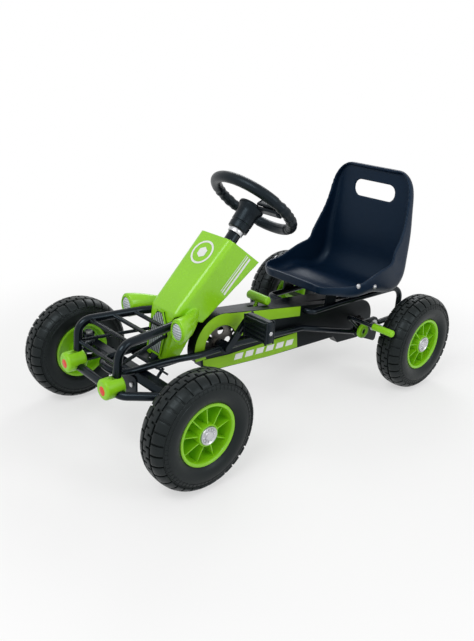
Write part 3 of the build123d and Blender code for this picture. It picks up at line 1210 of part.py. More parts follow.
with BuildPart() as brake_grip:
    with BuildSketch(side_plane(BRAKE_GRIP_START_X)):
        with Locations((grip_y, grip_z)):
            Circle(BRAKE_GRIP_DIAMETER / 2)
    extrude(amount=BRAKE_GRIP_LENGTH)
    chamfer(brake_grip.edges().sort_by(Axis.X)[-1], 3)
    with BuildSketch(side_plane(BRAKE_GRIP_START_X)):
        with Locations((grip_y, grip_z)):
            Circle(BRAKE_ROD_DIAMETER / 2)
    extrude(amount=BRAKE_GRIP_LENGTH - 3, mode=Mode.SUBTRACT)
brake_grip.part.label = "brake_grip"
export_step(brake_grip.part, "parts/brake_grip.step")

knob_inner_x = plate_outer_x + BRAKE_ROD_DIAMETER
with BuildPart() as brake_knob:
    with BuildSketch(side_plane(knob_inner_x)):
        with Locations((BRAKE_PIVOT_Y, BRAKE_PIVOT_Z)):
            Circle(BRAKE_KNOB_DIAMETER / 2)
    extrude(amount=BRAKE_KNOB_THICKNESS)
    chamfer(brake_knob.edges().sort_by(Axis.X)[-1], 2)
    with BuildSketch(side_plane(knob_inner_x)):
        with Locations((BRAKE_PIVOT_Y, BRAKE_PIVOT_Z)):
            Circle(BRAKE_PIN_RADIUS + RUNNING)
    extrude(amount=BRAKE_KNOB_THICKNESS / 2, mode=Mode.SUBTRACT)
brake_knob.part.label = "brake_knob"
export_step(brake_knob.part, "parts/brake_knob.step")

# ---------------------------------------------------------------- fasteners
with BuildPart() as frame_bolts:
    for x, z in ((-33, 146), (33, 146), (0, 122)):
        with BuildSketch(Plane(origin=(x, beam_face_y - PLATE, z), x_dir=(1, 0, 0), z_dir=(0, -1, 0))):
            RegularPolygon(BOLT_RADIUS, 6)
        extrude(amount=BOLT_HEAD)
    for side in SIDES.values():
        for y, z in ((REAR_AXLE_Y - 36, beam_middle_z), (REAR_AXLE_Y + 16, beam_middle_z)):
            with BuildSketch(side_plane(side * (BEAM_WIDTH / 2 + PLATE))):
                with Locations((y, z)):
                    RegularPolygon(BOLT_RADIUS, 6)
            extrude(amount=side * BOLT_HEAD)
frame_bolts.part.label = "frame_bolts"
export_step(frame_bolts.part, "parts/frame_bolts.step")
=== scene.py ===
import json
from math import asin, atan2, cos, degrees, hypot, pi, radians, sin

import bmesh
import bpy
from mathutils import Matrix, Vector


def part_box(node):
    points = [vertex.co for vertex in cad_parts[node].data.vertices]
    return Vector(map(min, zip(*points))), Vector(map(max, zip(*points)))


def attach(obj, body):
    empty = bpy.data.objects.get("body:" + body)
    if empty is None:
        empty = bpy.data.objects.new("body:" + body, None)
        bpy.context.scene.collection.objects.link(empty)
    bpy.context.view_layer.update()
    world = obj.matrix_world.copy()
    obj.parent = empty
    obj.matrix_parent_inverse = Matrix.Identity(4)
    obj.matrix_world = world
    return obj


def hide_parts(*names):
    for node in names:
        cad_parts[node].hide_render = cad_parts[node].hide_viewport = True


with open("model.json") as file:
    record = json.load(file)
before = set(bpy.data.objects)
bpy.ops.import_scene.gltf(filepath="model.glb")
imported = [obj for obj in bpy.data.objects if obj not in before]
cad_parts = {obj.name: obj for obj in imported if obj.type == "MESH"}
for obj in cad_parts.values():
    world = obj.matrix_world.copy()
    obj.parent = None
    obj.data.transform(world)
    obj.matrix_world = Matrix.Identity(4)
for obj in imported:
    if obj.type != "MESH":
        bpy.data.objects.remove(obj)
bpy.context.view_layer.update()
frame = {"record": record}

# ---------------------------------------------------------------- sizes, in metres
MM = 0.001
FRONT_AXLE = Vector((0.0, -0.37725, 0.130))
REAR_AXLE = Vector((0.0, 0.36775, 0.130))
WHEEL_X = 0.2475
CRANK = Vector((0.0, -0.16175, 0.188))
RING_CENTRE = Vector((0.0, -0.02475, 0.501))
COLUMN_TILT = radians(41)
SIDES = {"left": 1, "right": -1}
BODY_OF = {node: body for body, nodes in frame["record"]["behaviour"]["bodies"].items() for node in nodes}


# ---------------------------------------------------------------- shader sums
class Sum:
    """One socket or number, so that shader maths reads as ordinary arithmetic."""

    def __init__(self, finish, socket):
        self.finish = finish
        self.socket = socket

    def math(self, operation, *values):
        return self.finish.node("ShaderNodeMath", {"operation": operation}, (self, *values))

    def __add__(self, other):
        return self.math("ADD", other)

    def __radd__(self, other):
        return self.math("ADD", other)

    def __sub__(self, other):
        return self.math("SUBTRACT", other)

    def __mul__(self, other):
        return self.math("MULTIPLY", other)

    def __rmul__(self, other):
        return self.math("MULTIPLY", other)

    def above(self, edge, soft):
        """Rises from 0 to 1 as the value passes the edge, over the given softness."""
        settings = {"interpolation_type": "SMOOTHSTEP"}
        limits = (self, edge - soft / 2, edge + soft / 2, 0.0, 1.0)
        return self.finish.node("ShaderNodeMapRange", settings, limits)


class Finish:
    """A material with a Principled shader and the methods that add its pattern nodes."""

    def __init__(self, name, colour, roughness, metallic=0.0, coat=0.0, specular=0.5, tint=(1, 1, 1)):
        self.material = bpy.data.materials.new(name)
        self.material.use_nodes = True
        self.material.diffuse_color = (*colour, 1)
        self.tree = self.material.node_tree
        self.shader = self.tree.nodes["Principled BSDF"]
        self.set("Base Color", (*colour, 1))
        self.set("Roughness", roughness)
        self.set("Metallic", metallic)
        self.set("Coat Weight", coat)
        self.set("Coat Roughness", 0.12)
        self.set("Specular IOR Level", specular)
        self.set("Specular Tint", (*tint, 1))

    def set(self, name, value):
        socket = self.shader.inputs[name]
        if isinstance(value, Sum):
            self.tree.links.new(value.socket, socket)
        else:
            socket.default_value = value

    def node(self, kind, settings, values, output=0):
        """Adds a node: settings first, then its sockets in order, each a number, colour or link."""
        made = self.tree.nodes.new(kind)
        for name, setting in settings.items():
            setattr(made, name, setting)
        sockets = [socket for socket in made.inputs if socket.enabled]
        for socket, value in zip(sockets, values):
            if isinstance(value, Sum):
                self.tree.links.new(value.socket, socket)
            elif value is not None:
                socket.default_value = value
        outputs = [socket for socket in made.outputs if socket.enabled]
        return Sum(self, outputs[output])

    def place(self, scale=(1, 1, 1)):
        """Object coordinates, stretched along each axis."""
        coordinates = self.tree.nodes.new("ShaderNodeTexCoord")
        centre, turn = (0, 0, 0), (0, 0, 0)
        spot = Sum(self, coordinates.outputs["Object"])
        return self.node("ShaderNodeMapping", {}, (spot, centre, turn, scale))

    def axes(self, vector):
        """The three coordinates of a vector."""
        made = self.tree.nodes.new("ShaderNodeSeparateXYZ")
        self.tree.links.new(vector.socket, made.inputs[0])
        return [Sum(self, socket) for socket in made.outputs]

    def noise(self, vector, scale, detail=3.0, roughness=0.55):
        return self.node("ShaderNodeTexNoise", {}, (vector, scale, detail, roughness))

    def blend(self, amount, first, second):
        """Mixes two colours."""
        settings = {"data_type": "RGBA", "clamp_factor": True}
        first = first if isinstance(first, Sum) else (*first, 1)
        second = second if isinstance(second, Sum) else (*second, 1)
        return self.node("ShaderNodeMix", settings, (amount, first, second))

    def bump(self, height, depth, strength):
        """A normal roughened by a height, over the given depth in metres."""
        made = self.tree.nodes.new("ShaderNodeBump")
        made.inputs["Strength"].default_value = strength
        made.inputs["Distance"].default_value = depth
        self.tree.links.new(height.socket, made.inputs["Height"])
        return Sum(self, made.outputs[0])


def shade(colour, factor):
    """A colour made darker or lighter."""
    return tuple(min(1.0, channel * factor) for channel in colour)


COOL = (0.66, 0.86, 1.0)
RUBBER_TINT = (0.80, 0.94, 1.0)
NO_TINT = (1, 1, 1)


def moulded(name, colour, roughness, grain=900.0, depth=0.00012, coat=0.0, mottle=0.12, specular=0.5,
            tint=NO_TINT):
    """Moulded plastic: fine grain, faint flow marks and rubbed patches."""
    finish = Finish(name, colour, roughness, coat=coat, specular=specular, tint=tint)
    place = finish.place()
    flow = finish.noise(place, 14.0, 4.0)
    rubbed = finish.noise(place, 60.0, 5.0, 0.65).above(0.58, 0.14)
    finish.set("Base Color", finish.blend(flow, shade(colour, 1 - mottle), shade(colour, 1 + mottle)))
    finish.set("Roughness", roughness + 0.10 * (flow - 0.5) + 0.07 * rubbed)
    skin = finish.noise(place, grain, 2.0) + 0.6 * finish.noise(place, 90.0, 2.0)
    finish.set("Normal", finish.bump(skin, depth, 0.6))
    return finish


def painted(name, colour, roughness, specular):
    """Powder-coated steel: orange peel, dust in soft patches, a few rubbed flecks."""
    finish = Finish(name, colour, roughness, specular=specular, tint=COOL)
    place = finish.place()
    dust = finish.noise(place, 9.0, 5.0, 0.6)
    fleck = finish.noise(place, 420.0, 3.0, 0.7).above(0.71, 0.05)
    worn = finish.blend(dust.above(0.55, 0.3) * 0.35, colour, shade(colour, 2.4))
    finish.set("Base Color", finish.blend(fleck * 0.35, worn, (0.16, 0.17, 0.18)))
    finish.set("Roughness", roughness + 0.16 * (dust - 0.45) + 0.15 * fleck)
    peel = finish.noise(place, 320.0, 2.0) + 0.4 * finish.noise(place, 900.0, 2.0)
    finish.set("Normal", finish.bump(peel, 0.0002, 0.45))
    return finish


def plated(name, colour, roughness):
    """Zinc-plated steel: fine drawn lines, cloudy passivation and dull spots."""
    finish = Finish(name, colour, roughness, metallic=1.0)
    place = finish.place()
    lines = finish.noise(place, 420.0, 3.0, 0.6)
    cloud = finish.noise(place, 45.0, 4.0, 0.6)
    finish.set("Base Color", finish.blend(cloud, shade(colour, 0.72), shade(colour, 1.12)))
    finish.set("Roughness", roughness + 0.22 * (cloud - 0.4) + 0.12 * (lines - 0.5))
    finish.set("Normal", finish.bump(lines + 0.5 * cloud, 0.00012, 0.6))
    return finish


LIME = (0.240, 0.580, 0.008)
DEEP_LIME = (0.245, 0.500, 0.012)
lime_rim = moulded("lime_rim_plastic", LIME, 0.30, coat=0.25, mottle=0.10, specular=0.35)
lime_part = moulded("lime_moulded_plastic", LIME, 0.34, mottle=0.14, specular=0.35)
lime_panel = moulded("lime_panel_gloss", (0.265, 0.620, 0.010), 0.25, 500.0, 0.00004, 0.35, 0.10, 0.3)
guard_green = moulded("guard_green_film", DEEP_LIME, 0.45, 1200.0, 0.00006, 0.0, 0.10, 0.25)
tube_black = painted("tube_black_coat", (0.0022, 0.0032, 0.0050), 0.19, 0.26)
beam_black = painted("beam_black_coat", (0.0024, 0.0034, 0.0052), 0.30, 0.24)
black_plastic = moulded(
    "black_moulded_plastic", (0.0030, 0.0044, 0.0062), 0.34, 1100.0, 0.0002, 0.0, 0.12, 0.26, COOL)
guard_black = moulded(
    "guard_black_plastic", (0.0022, 0.0030, 0.0036), 0.34, 900.0, 0.0002, 0.0, 0.12, 0.18, COOL)
navy_seat = moulded(
    "navy_seat_plastic", (0.0026, 0.0108, 0.0285), 0.38, 1500.0, 0.00016, 0.0, 0.14, 0.20, COOL)
silver_plastic = moulded("silver_moulded_plastic", (0.50, 0.55, 0.57), 0.28, 700.0, 0.00005, 0.3, 0.08, 0.4)
zinc = plated("zinc_plate", (0.60, 0.61, 0.63), 0.34)
dark_steel = plated("oiled_dark_steel", (0.16, 0.16, 0.165), 0.42)
chain_steel = plated("oiled_chain_steel", (0.20, 0.19, 0.175), 0.38)
red_reflector = moulded("red_reflector", (0.72, 0.050, 0.012), 0.22, 400.0, 0.00004, 0.0, 0.12, 0.25)
tyre_rubber = moulded(
    "tyre_rubber", (0.0052, 0.0066, 0.0062), 0.38, 700.0, 0.0003, 0.0, 0.25, 0.26, RUBBER_TINT)
white_film = moulded("white_film", (0.80, 0.82, 0.80), 0.42, 1000.0, 0.00004, 0.0, 0.05, 0.3)


def ribbed_lens():
    """Clear-grey lamp lens, crossed by fine moulded ribs; the rib crests are painted lighter as glints and
    the troughs darker as shade.
    """
    finish = moulded("lamp_lens", (0.46, 0.50, 0.53), 0.16, 500.0, 0.00004, 0.5, 0.10)
    across, _, up = finish.axes(finish.place(scale=(1500, 1, 1100)))
    ribs = across.math("SINE") + up.math("SINE")
    # painted glint and shade: the base colour turns light on each rib crest and dark in each trough
    rib_glint_and_shade = ribs.above(0.2, 1.6)
    finish.set("Base Color", finish.blend(rib_glint_and_shade, (0.44, 0.49, 0.54), (0.84, 0.90, 0.95)))
    finish.set("Normal", finish.bump(ribs, 0.0007, 0.8))
    return finish


lens_grey = ribbed_lens()


# ---------------------------------------------------------------- modelling tools
def only(obj):
    """Selects one object alone and makes it active."""
    if bpy.context.mode != "OBJECT":
        bpy.ops.object.mode_set(mode="OBJECT")
    bpy.ops.object.select_all(action="DESELECT")
    obj.select_set(True)
    bpy.context.view_layer.objects.active = obj
    return obj


def edit(obj):
    """Opens a piece in edit mode, picking by points."""
    only(obj)
    bpy.ops.object.mode_set(mode="EDIT")
    bpy.ops.mesh.select_mode(type="VERT")


def done(obj, angle=35.0):
    """Leaves edit mode, puts the object's place into its mesh and smooths gentle edges."""
    if bpy.context.mode != "OBJECT":
        bpy.ops.object.mode_set(mode="OBJECT")
    only(obj)
    bpy.ops.object.transform_apply(location=True, rotation=True, scale=True)
    bpy.ops.object.shade_smooth_by_angle(angle=radians(angle))
    return obj


def modify(obj, kind, **settings):
    """Adds a modifier and applies it."""
    only(obj)
    made = obj.modifiers.new(kind.title(), kind)
    for name, value in settings.items():
        setattr(made, name, value)
    bpy.ops.object.modifier_apply(modifier=made.name)
    return obj


def round_edges(obj, width, segments=2, angle=32.0):
    """Bevels the edges that turn by more than the angle."""
    return modify(
        obj, "BEVEL", width=width, segments=segments, limit_method="ANGLE", angle_limit=radians(angle))


def twin(model):
    """A second object with its own mesh."""
    copy = model.copy()
    copy.data = model.data.copy()
    bpy.context.collection.objects.link(copy)
    return copy


def piece(obj, name, finish, body, *nodes):
    """Names a finished object, gives it its material and body, and the CAD nodes it stands for."""
    obj.name = name
    obj.data.name = name
    obj.data.materials.clear()
    obj.data.materials.append(finish.material)
    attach(obj, body)
    if nodes:
        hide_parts(*nodes)
    return obj


def smoothed(node, finish, edge):
    """A CAD node's shape with its facets joined, its edges rounded and its curves shaded smooth."""
    copy = twin(bpy.data.objects[node])
    edit(copy)
    bpy.ops.mesh.select_all(action="SELECT")
    bpy.ops.mesh.remove_doubles(threshold=0.00001)
    bpy.ops.mesh.dissolve_limited(angle_limit=radians(0.5))
    bpy.ops.object.mode_set(mode="OBJECT")
    if edge:
        round_edges(copy, edge, angle=30.0)
    done(copy, 30)
    return piece(copy, node + "_finished", finish, BODY_OF[node], node)


def moulding(node, finish, voxel, rounds):
    """A CAD shell remade with small even faces, so that its edges turn over softly."""
    copy = twin(bpy.data.objects[node])
    edit(copy)
    sealed()
    bpy.ops.object.mode_set(mode="OBJECT")
    modify(copy, "REMESH", mode="VOXEL", voxel_size=voxel, use_smooth_shade=True)
    modify(copy, "SMOOTH", factor=0.5, iterations=rounds)
    done(copy, 60)
    return piece(copy, node + "_moulded", finish, BODY_OF[node], node)


def wire(points):
    """A run of edges, drawn by extruding one vertex from point to point and left in edit mode."""
    bpy.ops.mesh.primitive_plane_add(size=0.001, location=(0, 0, 0))
    obj = bpy.context.object
    edit(obj)
    bpy.ops.mesh.select_all(action="SELECT")
    bpy.ops.mesh.merge(type="CENTER")
    bpy.ops.transform.translate(value=points[0])
    for first, second in zip(points, points[1:]):
        step = Vector(second) - Vector(first)
        bpy.ops.mesh.extrude_region_move(TRANSFORM_OT_translate={"value": step})
    return obj


def sealed():
    """Joins what meets in the mesh being edited and turns its faces outwards."""
    bpy.ops.mesh.select_all(action="SELECT")
    bpy.ops.mesh.remove_doubles(threshold=0.00002)
    bpy.ops.mesh.normals_make_consistent(inside=False)


def turned(points, steps):
    """A round piece about the X axis from (x, radius) points, left in edit mode."""
    obj = wire([(x, 0.0, radius) for x, radius in points])
    bpy.ops.mesh.select_all(action="SELECT")
    bpy.ops.mesh.spin(steps=steps, angle=2 * pi, center=(0, 0, 0), axis=(1, 0, 0))
    sealed()
    return obj


def pick(obj, test):
    """Selects the faces whose middle and normal pass the test."""
    bpy.ops.mesh.select_mode(type="FACE")
    bpy.ops.mesh.select_all(action="DESELECT")
    mesh = bmesh.from_edit_mesh(obj.data)
    for face in mesh.faces:
        face.select_set(bool(test(face.calc_center_median(), face.normal)))
    mesh.select_flush_mode()
    bmesh.update_edit_mesh(obj.data)


def flat_plate(points, thickness):
    """A thin plate from its outline, thickened evenly to both sides."""
    obj = wire(points)
    bpy.ops.mesh.select_all(action="SELECT")
    bpy.ops.mesh.edge_face_add()
    bpy.ops.object.mode_set(mode="OBJECT")
    modify(obj, "SOLIDIFY", thickness=thickness, offset=0.0)
    edit(obj)
    sealed()
    return done(obj)


def pick_points(obj, test):
    """Selects the points that pass the test."""
    bpy.ops.mesh.select_mode(type="VERT")
    bpy.ops.mesh.select_all(action="DESELECT")
    mesh = bmesh.from_edit_mesh(obj.data)
    for point in mesh.verts:
        point.select_set(bool(test(point.co)))
    mesh.select_flush_mode()
    bmesh.update_edit_mesh(obj.data)


def ring_of(obj, count):
    """Repeats what is modelled evenly round the X axis."""
    edit(obj)
    bpy.ops.mesh.select_all(action="SELECT")
    bpy.ops.mesh.spin(steps=count, angle=2 * pi, dupli=True, center=(0, 0, 0), axis=(1, 0, 0))
    bpy.ops.mesh.select_all(action="SELECT")
    bpy.ops.mesh.remove_doubles(threshold=0.00001)
    bpy.ops.object.mode_set(mode="OBJECT")
    return obj


def joined(first, *others):
    """Makes one object of several."""
    only(first)
    for obj in others:
        obj.select_set(True)
    bpy.ops.object.join()
    return first


def block(size, middle, bevel=0.0, segments=2):
    """A box of the given size with its edges rounded."""
    bpy.ops.mesh.primitive_cube_add(size=1, location=middle)
    obj = bpy.context.object
    obj.scale = size
    bpy.ops.object.transform_apply(location=True, rotation=True, scale=True)
    if bevel:
        round_edges(obj, bevel, segments)
    return obj


def copy_of(model, centre=(0, 0, 0), turn=0.0):
    """A copy with its own mesh, turned about the upright axis and moved to its place."""
    copy = twin(model)
    copy.rotation_euler = (0, 0, turn)
    copy.location = centre
    return done(copy)


seat = moulding("seat_shell", navy_seat, 0.0028, 6)
shell = moulding("fairing_shell", lime_panel, 0.0017, 5)

# ---------------------------------------------------------------- wheels
PITCHES = 32
PITCH_STEPS = 6
TYRE_HALF = (
    (0.0, 125.8), (4.5, 125.7), (9.0, 125.4), (12.5, 125.0), (18.0, 124.0), (24.0, 121.6), (29.0, 118.0),
    (33.5, 112.8), (36.3, 107.0), (38.2, 100.5), (39.1, 94.0), (38.9, 87.0), (37.2, 80.0), (34.2, 74.5),
    (30.8, 71.2), (28.4, 68.6), (26.4, 66.2), (25.6, 64.1))


def step_round(middle):
    """Which small step of the tread's pitch a point stands in."""
    return int(degrees(atan2(middle.z, middle.y)) % 360 * PITCHES * PITCH_STEPS / 360) % PITCH_STEPS


def tread_face(middle, normal):
    """Whether a face of the plain tyre belongs to a tread block and not to a groove."""
    radius = hypot(middle.y, middle.z)
    across = abs(middle.x) / MM
    if across < 9.0 and radius > 0.12:
        return step_round(middle) != (0 if middle.x < 0 else 3)
    if 12.5 < across < 33.4 and radius > 0.112:
        return step_round(middle) != (3 if middle.x < 0 else 0)
    return False


def tyre_model():
    """Air tyre with cut tread blocks, two moulded lines a side and short ticks at the shoulder."""
    half = [(x * MM, radius * MM) for x, radius in TYRE_HALF]
    outline = [(-x, radius) for x, radius in reversed(half)] + half[1:]
    obj = turned(outline + [outline[0]], PITCHES * PITCH_STEPS)
    pick(obj, tread_face)
    bpy.ops.mesh.extrude_region_shrink_fatten(TRANSFORM_OT_shrink_fatten={"value": 3.5 * MM})
    bpy.ops.mesh.region_to_loop()
    bpy.ops.mesh.bevel(offset=0.8 * MM, segments=2, affect="EDGES")
    bpy.ops.mesh.select_all(action="DESELECT")
    done(obj, 40)
    lines = []
    for side in (-1, 1):
        for x, radius in ((34.9, 110.4), (37.6, 103.0)):
            bpy.ops.mesh.primitive_torus_add(
                major_segments=96, minor_segments=6, major_radius=radius * MM, minor_radius=0.9 * MM,
                location=(side * x * MM, 0, 0), rotation=(0, radians(90), 0))
            lines.append(done(bpy.context.object))
        tick = block((1.2 * MM, 1.1 * MM, 11 * MM), (side * 36.6 * MM, 0, 106.4 * MM), 0.3 * MM, 1)
        edit(tick)
        bpy.ops.mesh.select_all(action="SELECT")
        bpy.ops.transform.rotate(
            value=side * radians(20), orient_axis="Y", center_override=(side * 36.6 * MM, 0, 106.4 * MM))
        lines.append(done(ring_of(tick, 2 * PITCHES)))
    return done(joined(obj, *lines), 40)


RIM_OUTBOARD = (
    (29.2, 8.0), (29.2, 20.4), (30.6, 21.4), (30.6, 23.4), (28.8, 24.2), (0.0, 24.4), (-3.0, 26.2),
    (-4.0, 30.0), (-4.0, 55.5), (-2.6, 58.8), (1.0, 60.2), (24.0, 61.0), (27.6, 61.4), (30.4, 62.6),
    (31.9, 64.6), (32.0, 67.2), (30.8, 69.2), (28.8, 69.7), (27.2, 68.2), (26.0, 65.6), (24.0, 63.7))
RIM_INBOARD = (
    (-24.0, 63.7), (-26.0, 65.6), (-27.2, 68.2), (-28.8, 69.7), (-30.8, 69.2), (-32.0, 67.2), (-31.9, 64.6),
    (-30.4, 62.6), (-27.6, 61.4), (-24.0, 61.0), (-12.0, 60.2), (-9.0, 57.0), (-9.0, 26.0), (-12.0, 23.8),
    (-28.8, 23.2), (-29.2, 21.0), (-29.2, 8.0))


def rim_model():
    """Moulded rim with a hub tube and nine ribs behind its outer face."""
    outline = [(x * MM, radius * MM) for x, radius in RIM_OUTBOARD + RIM_INBOARD]
    obj = turned(outline + [outline[0]], 96)
    done(obj, 40)
    rib = wire([(x * MM, 0.0, z * MM) for x, z in (
        (-4.2, 23.0), (27.4, 23.0), (25.4, 36.0), (22.4, 61.2), (-4.2, 61.2))])
    bpy.ops.mesh.select_all(action="SELECT")
    bpy.ops.mesh.edge_face_add()
    bpy.ops.object.mode_set(mode="OBJECT")
    modify(rib, "SOLIDIFY", thickness=2.4 * MM, offset=0.0)
    edit(rib)
    sealed()
    done(rib)
    round_edges(rib, 0.7 * MM, 2)
    return done(joined(obj, ring_of(rib, 9)), 38)


def hub_cap_model():
    """Pressed cap with a raised six-sided boss, round its end a ring of small lugs."""
    outline = [(x * MM, radius * MM) for x, radius in (
        (29.2, 0.0), (29.2, 20.6), (31.6, 20.6), (33.4, 19.6), (33.8, 17.8), (32.6, 16.2), (31.6, 15.2),
        (31.6, 10.4), (33.2, 9.4), (34.4, 5.2), (34.8, 4.4), (34.9, 0.0))]
    obj = done(turned(outline, 60), 40)
    bpy.ops.mesh.primitive_cylinder_add(
        vertices=6, radius=9.0 * MM, depth=3 * MM, location=(33.2 * MM, 0, 0), rotation=(0, radians(90), 0))
    nut = round_edges(done(bpy.context.object), 0.5 * MM, 2)
    lug = block((2.4 * MM, 2.0 * MM, 5.0 * MM), (32.2 * MM, 0, 13.2 * MM), 0.4 * MM, 1)
    return done(joined(obj, nut, ring_of(lug, 12)), 38)


tyre = tyre_model()
rim = rim_model()
cap = hub_cap_model()
rear_caps = []
for place, axle in (("front", FRONT_AXLE), ("rear", REAR_AXLE)):
    for name, side in SIDES.items():
        centre = axle + Vector((side * WHEEL_X, 0, 0))
        turn = 0.0 if side > 0 else pi
        body = BODY_OF[f"{place}_tyre_{name}"]
        piece(copy_of(tyre, centre, turn), f"{place}_tread_{name}", tyre_rubber, body, f"{place}_tyre_{name}")
        piece(copy_of(rim, centre, turn), f"{place}_spoked_rim_{name}", lime_rim, body, f"{place}_rim_{name}")
        if place == "front":
            piece(copy_of(cap, centre, turn), f"front_cap_{name}", zinc, body, f"front_hub_cap_{name}")
        else:
            rear_caps.append(copy_of(cap, centre, turn))
piece(done(joined(*rear_caps)), "rear_caps", zinc, "rear_wheels", "rear_hub_caps")
for model in (tyre, rim, cap):
    bpy.data.objects.remove(model)

# ---------------------------------------------------------------- plain nodes with their finishes
for node, finish in {
        "steering_shaft": dark_steel, "rear_axle": dark_steel, "column_bushes": black_plastic,
        "crank_bushes": black_plastic, "front_bearings_left": zinc, "front_bearings_right": zinc,
        "rear_axle_bearings": zinc, "kingpins": zinc}.items():
    bpy.data.objects[node].data.materials.clear()
    bpy.data.objects[node].data.materials.append(finish.material)

for node, finish, edge in (
        ("steering_column", tube_black, 0.0008), ("column_collar", zinc, 0.0008),
        ("main_beam", beam_black, 0.0), ("beam_end_cap", black_plastic, 0.001),
        ("lower_frame_loop", tube_black, 0.0), ("column_web", beam_black, 0.0),
        ("front_axle_beam", tube_black, 0.0), ("front_mount_plate", beam_black, 0.0008),
        ("bumper_tube_left", tube_black, 0.0), ("bumper_tube_right", tube_black, 0.0),
        ("bumper_rods", tube_black, 0.0), ("bumper_bar", tube_black, 0.0),
        ("rear_axle_plates", beam_black, 0.0), ("seat_hoop_left", tube_black, 0.0),
        ("seat_hoop_right", tube_black, 0.0), ("seat_brackets", beam_black, 0.0),
        ("steering_knuckle_left", tube_black, 0.0), ("steering_knuckle_right", tube_black, 0.0),
        ("track_rod", tube_black, 0.0), ("pitman_plate", beam_black, 0.0),
        ("crank", tube_black, 0.0), ("brake_lever", tube_black, 0.0),
        ("chain_guard", guard_black, 0.0), ("guard_trim", guard_green, 0.0003),
        ("grille", black_plastic, 0.0),
        ("bumper_caps", lime_part, 0.0), ("gear_lever", lime_part, 0.0), ("brake_grip", lime_part, 0.0008),
        ("bumper_reflectors", red_reflector, 0.0005), ("frame_bolts", zinc, 0.0004),
        ("rear_sprocket", chain_steel, 0.0), ("chainring", chain_steel, 0.0)):
    smoothed(node, finish, edge)

# ---------------------------------------------------------------- steering wheel
RING_STEPS = 170
GRIP_STEPS = 5


def on_column(obj):
    """Stands a piece modelled about the Z axis on the steering column."""
    obj.rotation_euler = (-COLUMN_TILT, 0, 0)
    obj.location = RING_CENTRE
    return done(obj, 40)


bpy.ops.mesh.primitive_torus_add(
    major_segments=RING_STEPS, minor_segments=28, major_radius=0.1059, minor_radius=0.0132,
    location=(0, 0, 0))
ring = bpy.context.object
edit(ring)
for offset, depth in ((0, 2.0), (1, 1.2), (4, 1.2)):
    def groove(point, offset=offset):
        turn = degrees(atan2(point.x, point.y))
        step = round(turn / 360 * RING_STEPS)
        return 28 < abs(turn) < 112 and step % GRIP_STEPS == offset
    pick_points(ring, groove)
    bpy.ops.transform.shrink_fatten(value=-depth * MM)
piece(on_column(ring), "steering_rim", black_plastic, "steering", "steering_ring")

boss_outline = [(x * MM, radius * MM) for x, radius in (
    (-20, 0), (-20, 8.3), (-75.5, 8.3), (-75.5, 23.0), (-74.4, 25.0), (-61, 25.8), (-60, 24.6),
    (-57, 24.6), (-56, 26.2), (-30, 26.4), (-23, 27.6), (-17, 31.2), (-13, 32.7), (-8.4, 32.7),
    (-6.6, 31.4), (-6.2, 28.0), (-7.8, 26.6), (-7.8, 14.0), (-6.6, 12.6), (-6.4, 0))]
boss = turned(boss_outline, 72)
bpy.ops.object.mode_set(mode="OBJECT")
boss.rotation_euler = (0, radians(-90), 0)
done(boss, 40)
spoke = block((70 * MM, 24 * MM, 7.6 * MM), (60 * MM, 0, -10 * MM), 2.6 * MM, 3)
edit(spoke)
pick(spoke, lambda middle, normal: abs(normal.z) > 0.9 and abs(middle.y) < 0.004)
bpy.ops.mesh.inset(thickness=3.0 * MM)
bpy.ops.mesh.extrude_region_shrink_fatten(TRANSFORM_OT_shrink_fatten={"value": -1.2 * MM})
done(spoke)
piece(on_column(joined(boss, ring_of(spoke, 3))), "steering_boss", black_plastic, "steering", "steering_hub")

# ---------------------------------------------------------------- pedals
CRANK_REACH = 0.076
CRANK_ANGLE = radians(47)
PEDAL_X = 0.13


def pedal_model():
    """Block pedal with rounded ends and raised treads on both faces."""
    body = block((81.5 * MM, 22 * MM, 56 * MM), (0, 0, 0), 7 * MM, 4)
    treads = [body]
    for face in (-1, 1):
        for height in (-22, -11, 0, 11, 22):
            treads.append(block((76 * MM, 5 * MM, 5.4 * MM), (0, face * 11.5 * MM, height * MM), 1.4 * MM, 2))
        for end in (-1, 1):
            treads.append(block((6 * MM, 5 * MM, 57 * MM), (end * 36 * MM, face * 11.5 * MM, 0), 1.8 * MM, 2))
    return done(joined(*treads), 38)


pedal = pedal_model()
for name, side in SIDES.items():
    reach = side * CRANK_REACH
    centre = CRANK + Vector((side * PEDAL_X, reach * cos(CRANK_ANGLE), reach * sin(CRANK_ANGLE)))
    piece(copy_of(pedal, centre), f"block_pedal_{name}", black_plastic, f"pedal_{name}", f"pedal_{name}")
    bpy.ops.mesh.primitive_cylinder_add(
        vertices=6, radius=5.5 * MM, depth=3 * MM, location=centre + Vector((side * 0.0400, 0, 0)),
        rotation=(0, radians(90), 0))
    piece(round_edges(done(bpy.context.object), 0.6 * MM), f"pedal_nut_{name}", zinc, f"pedal_{name}")
bpy.data.objects.remove(pedal)

# ---------------------------------------------------------------- roller chain
CHAIN_X = 0.043
CHAIN_LINKS = 104
CHAIN_PITCH = 0.0127
BIG_RADIUS = CHAIN_PITCH / 2 / sin(pi / 26)
SMALL_RADIUS = CHAIN_PITCH / 2 / sin(pi / 13)
PLATE_ROUND = 0.0041


def around(middle, radius, turn):
    """A point of a circle seen from the side, as (y, z)."""
    return Vector((middle.y, middle.z)) + radius * Vector((cos(turn), sin(turn)))


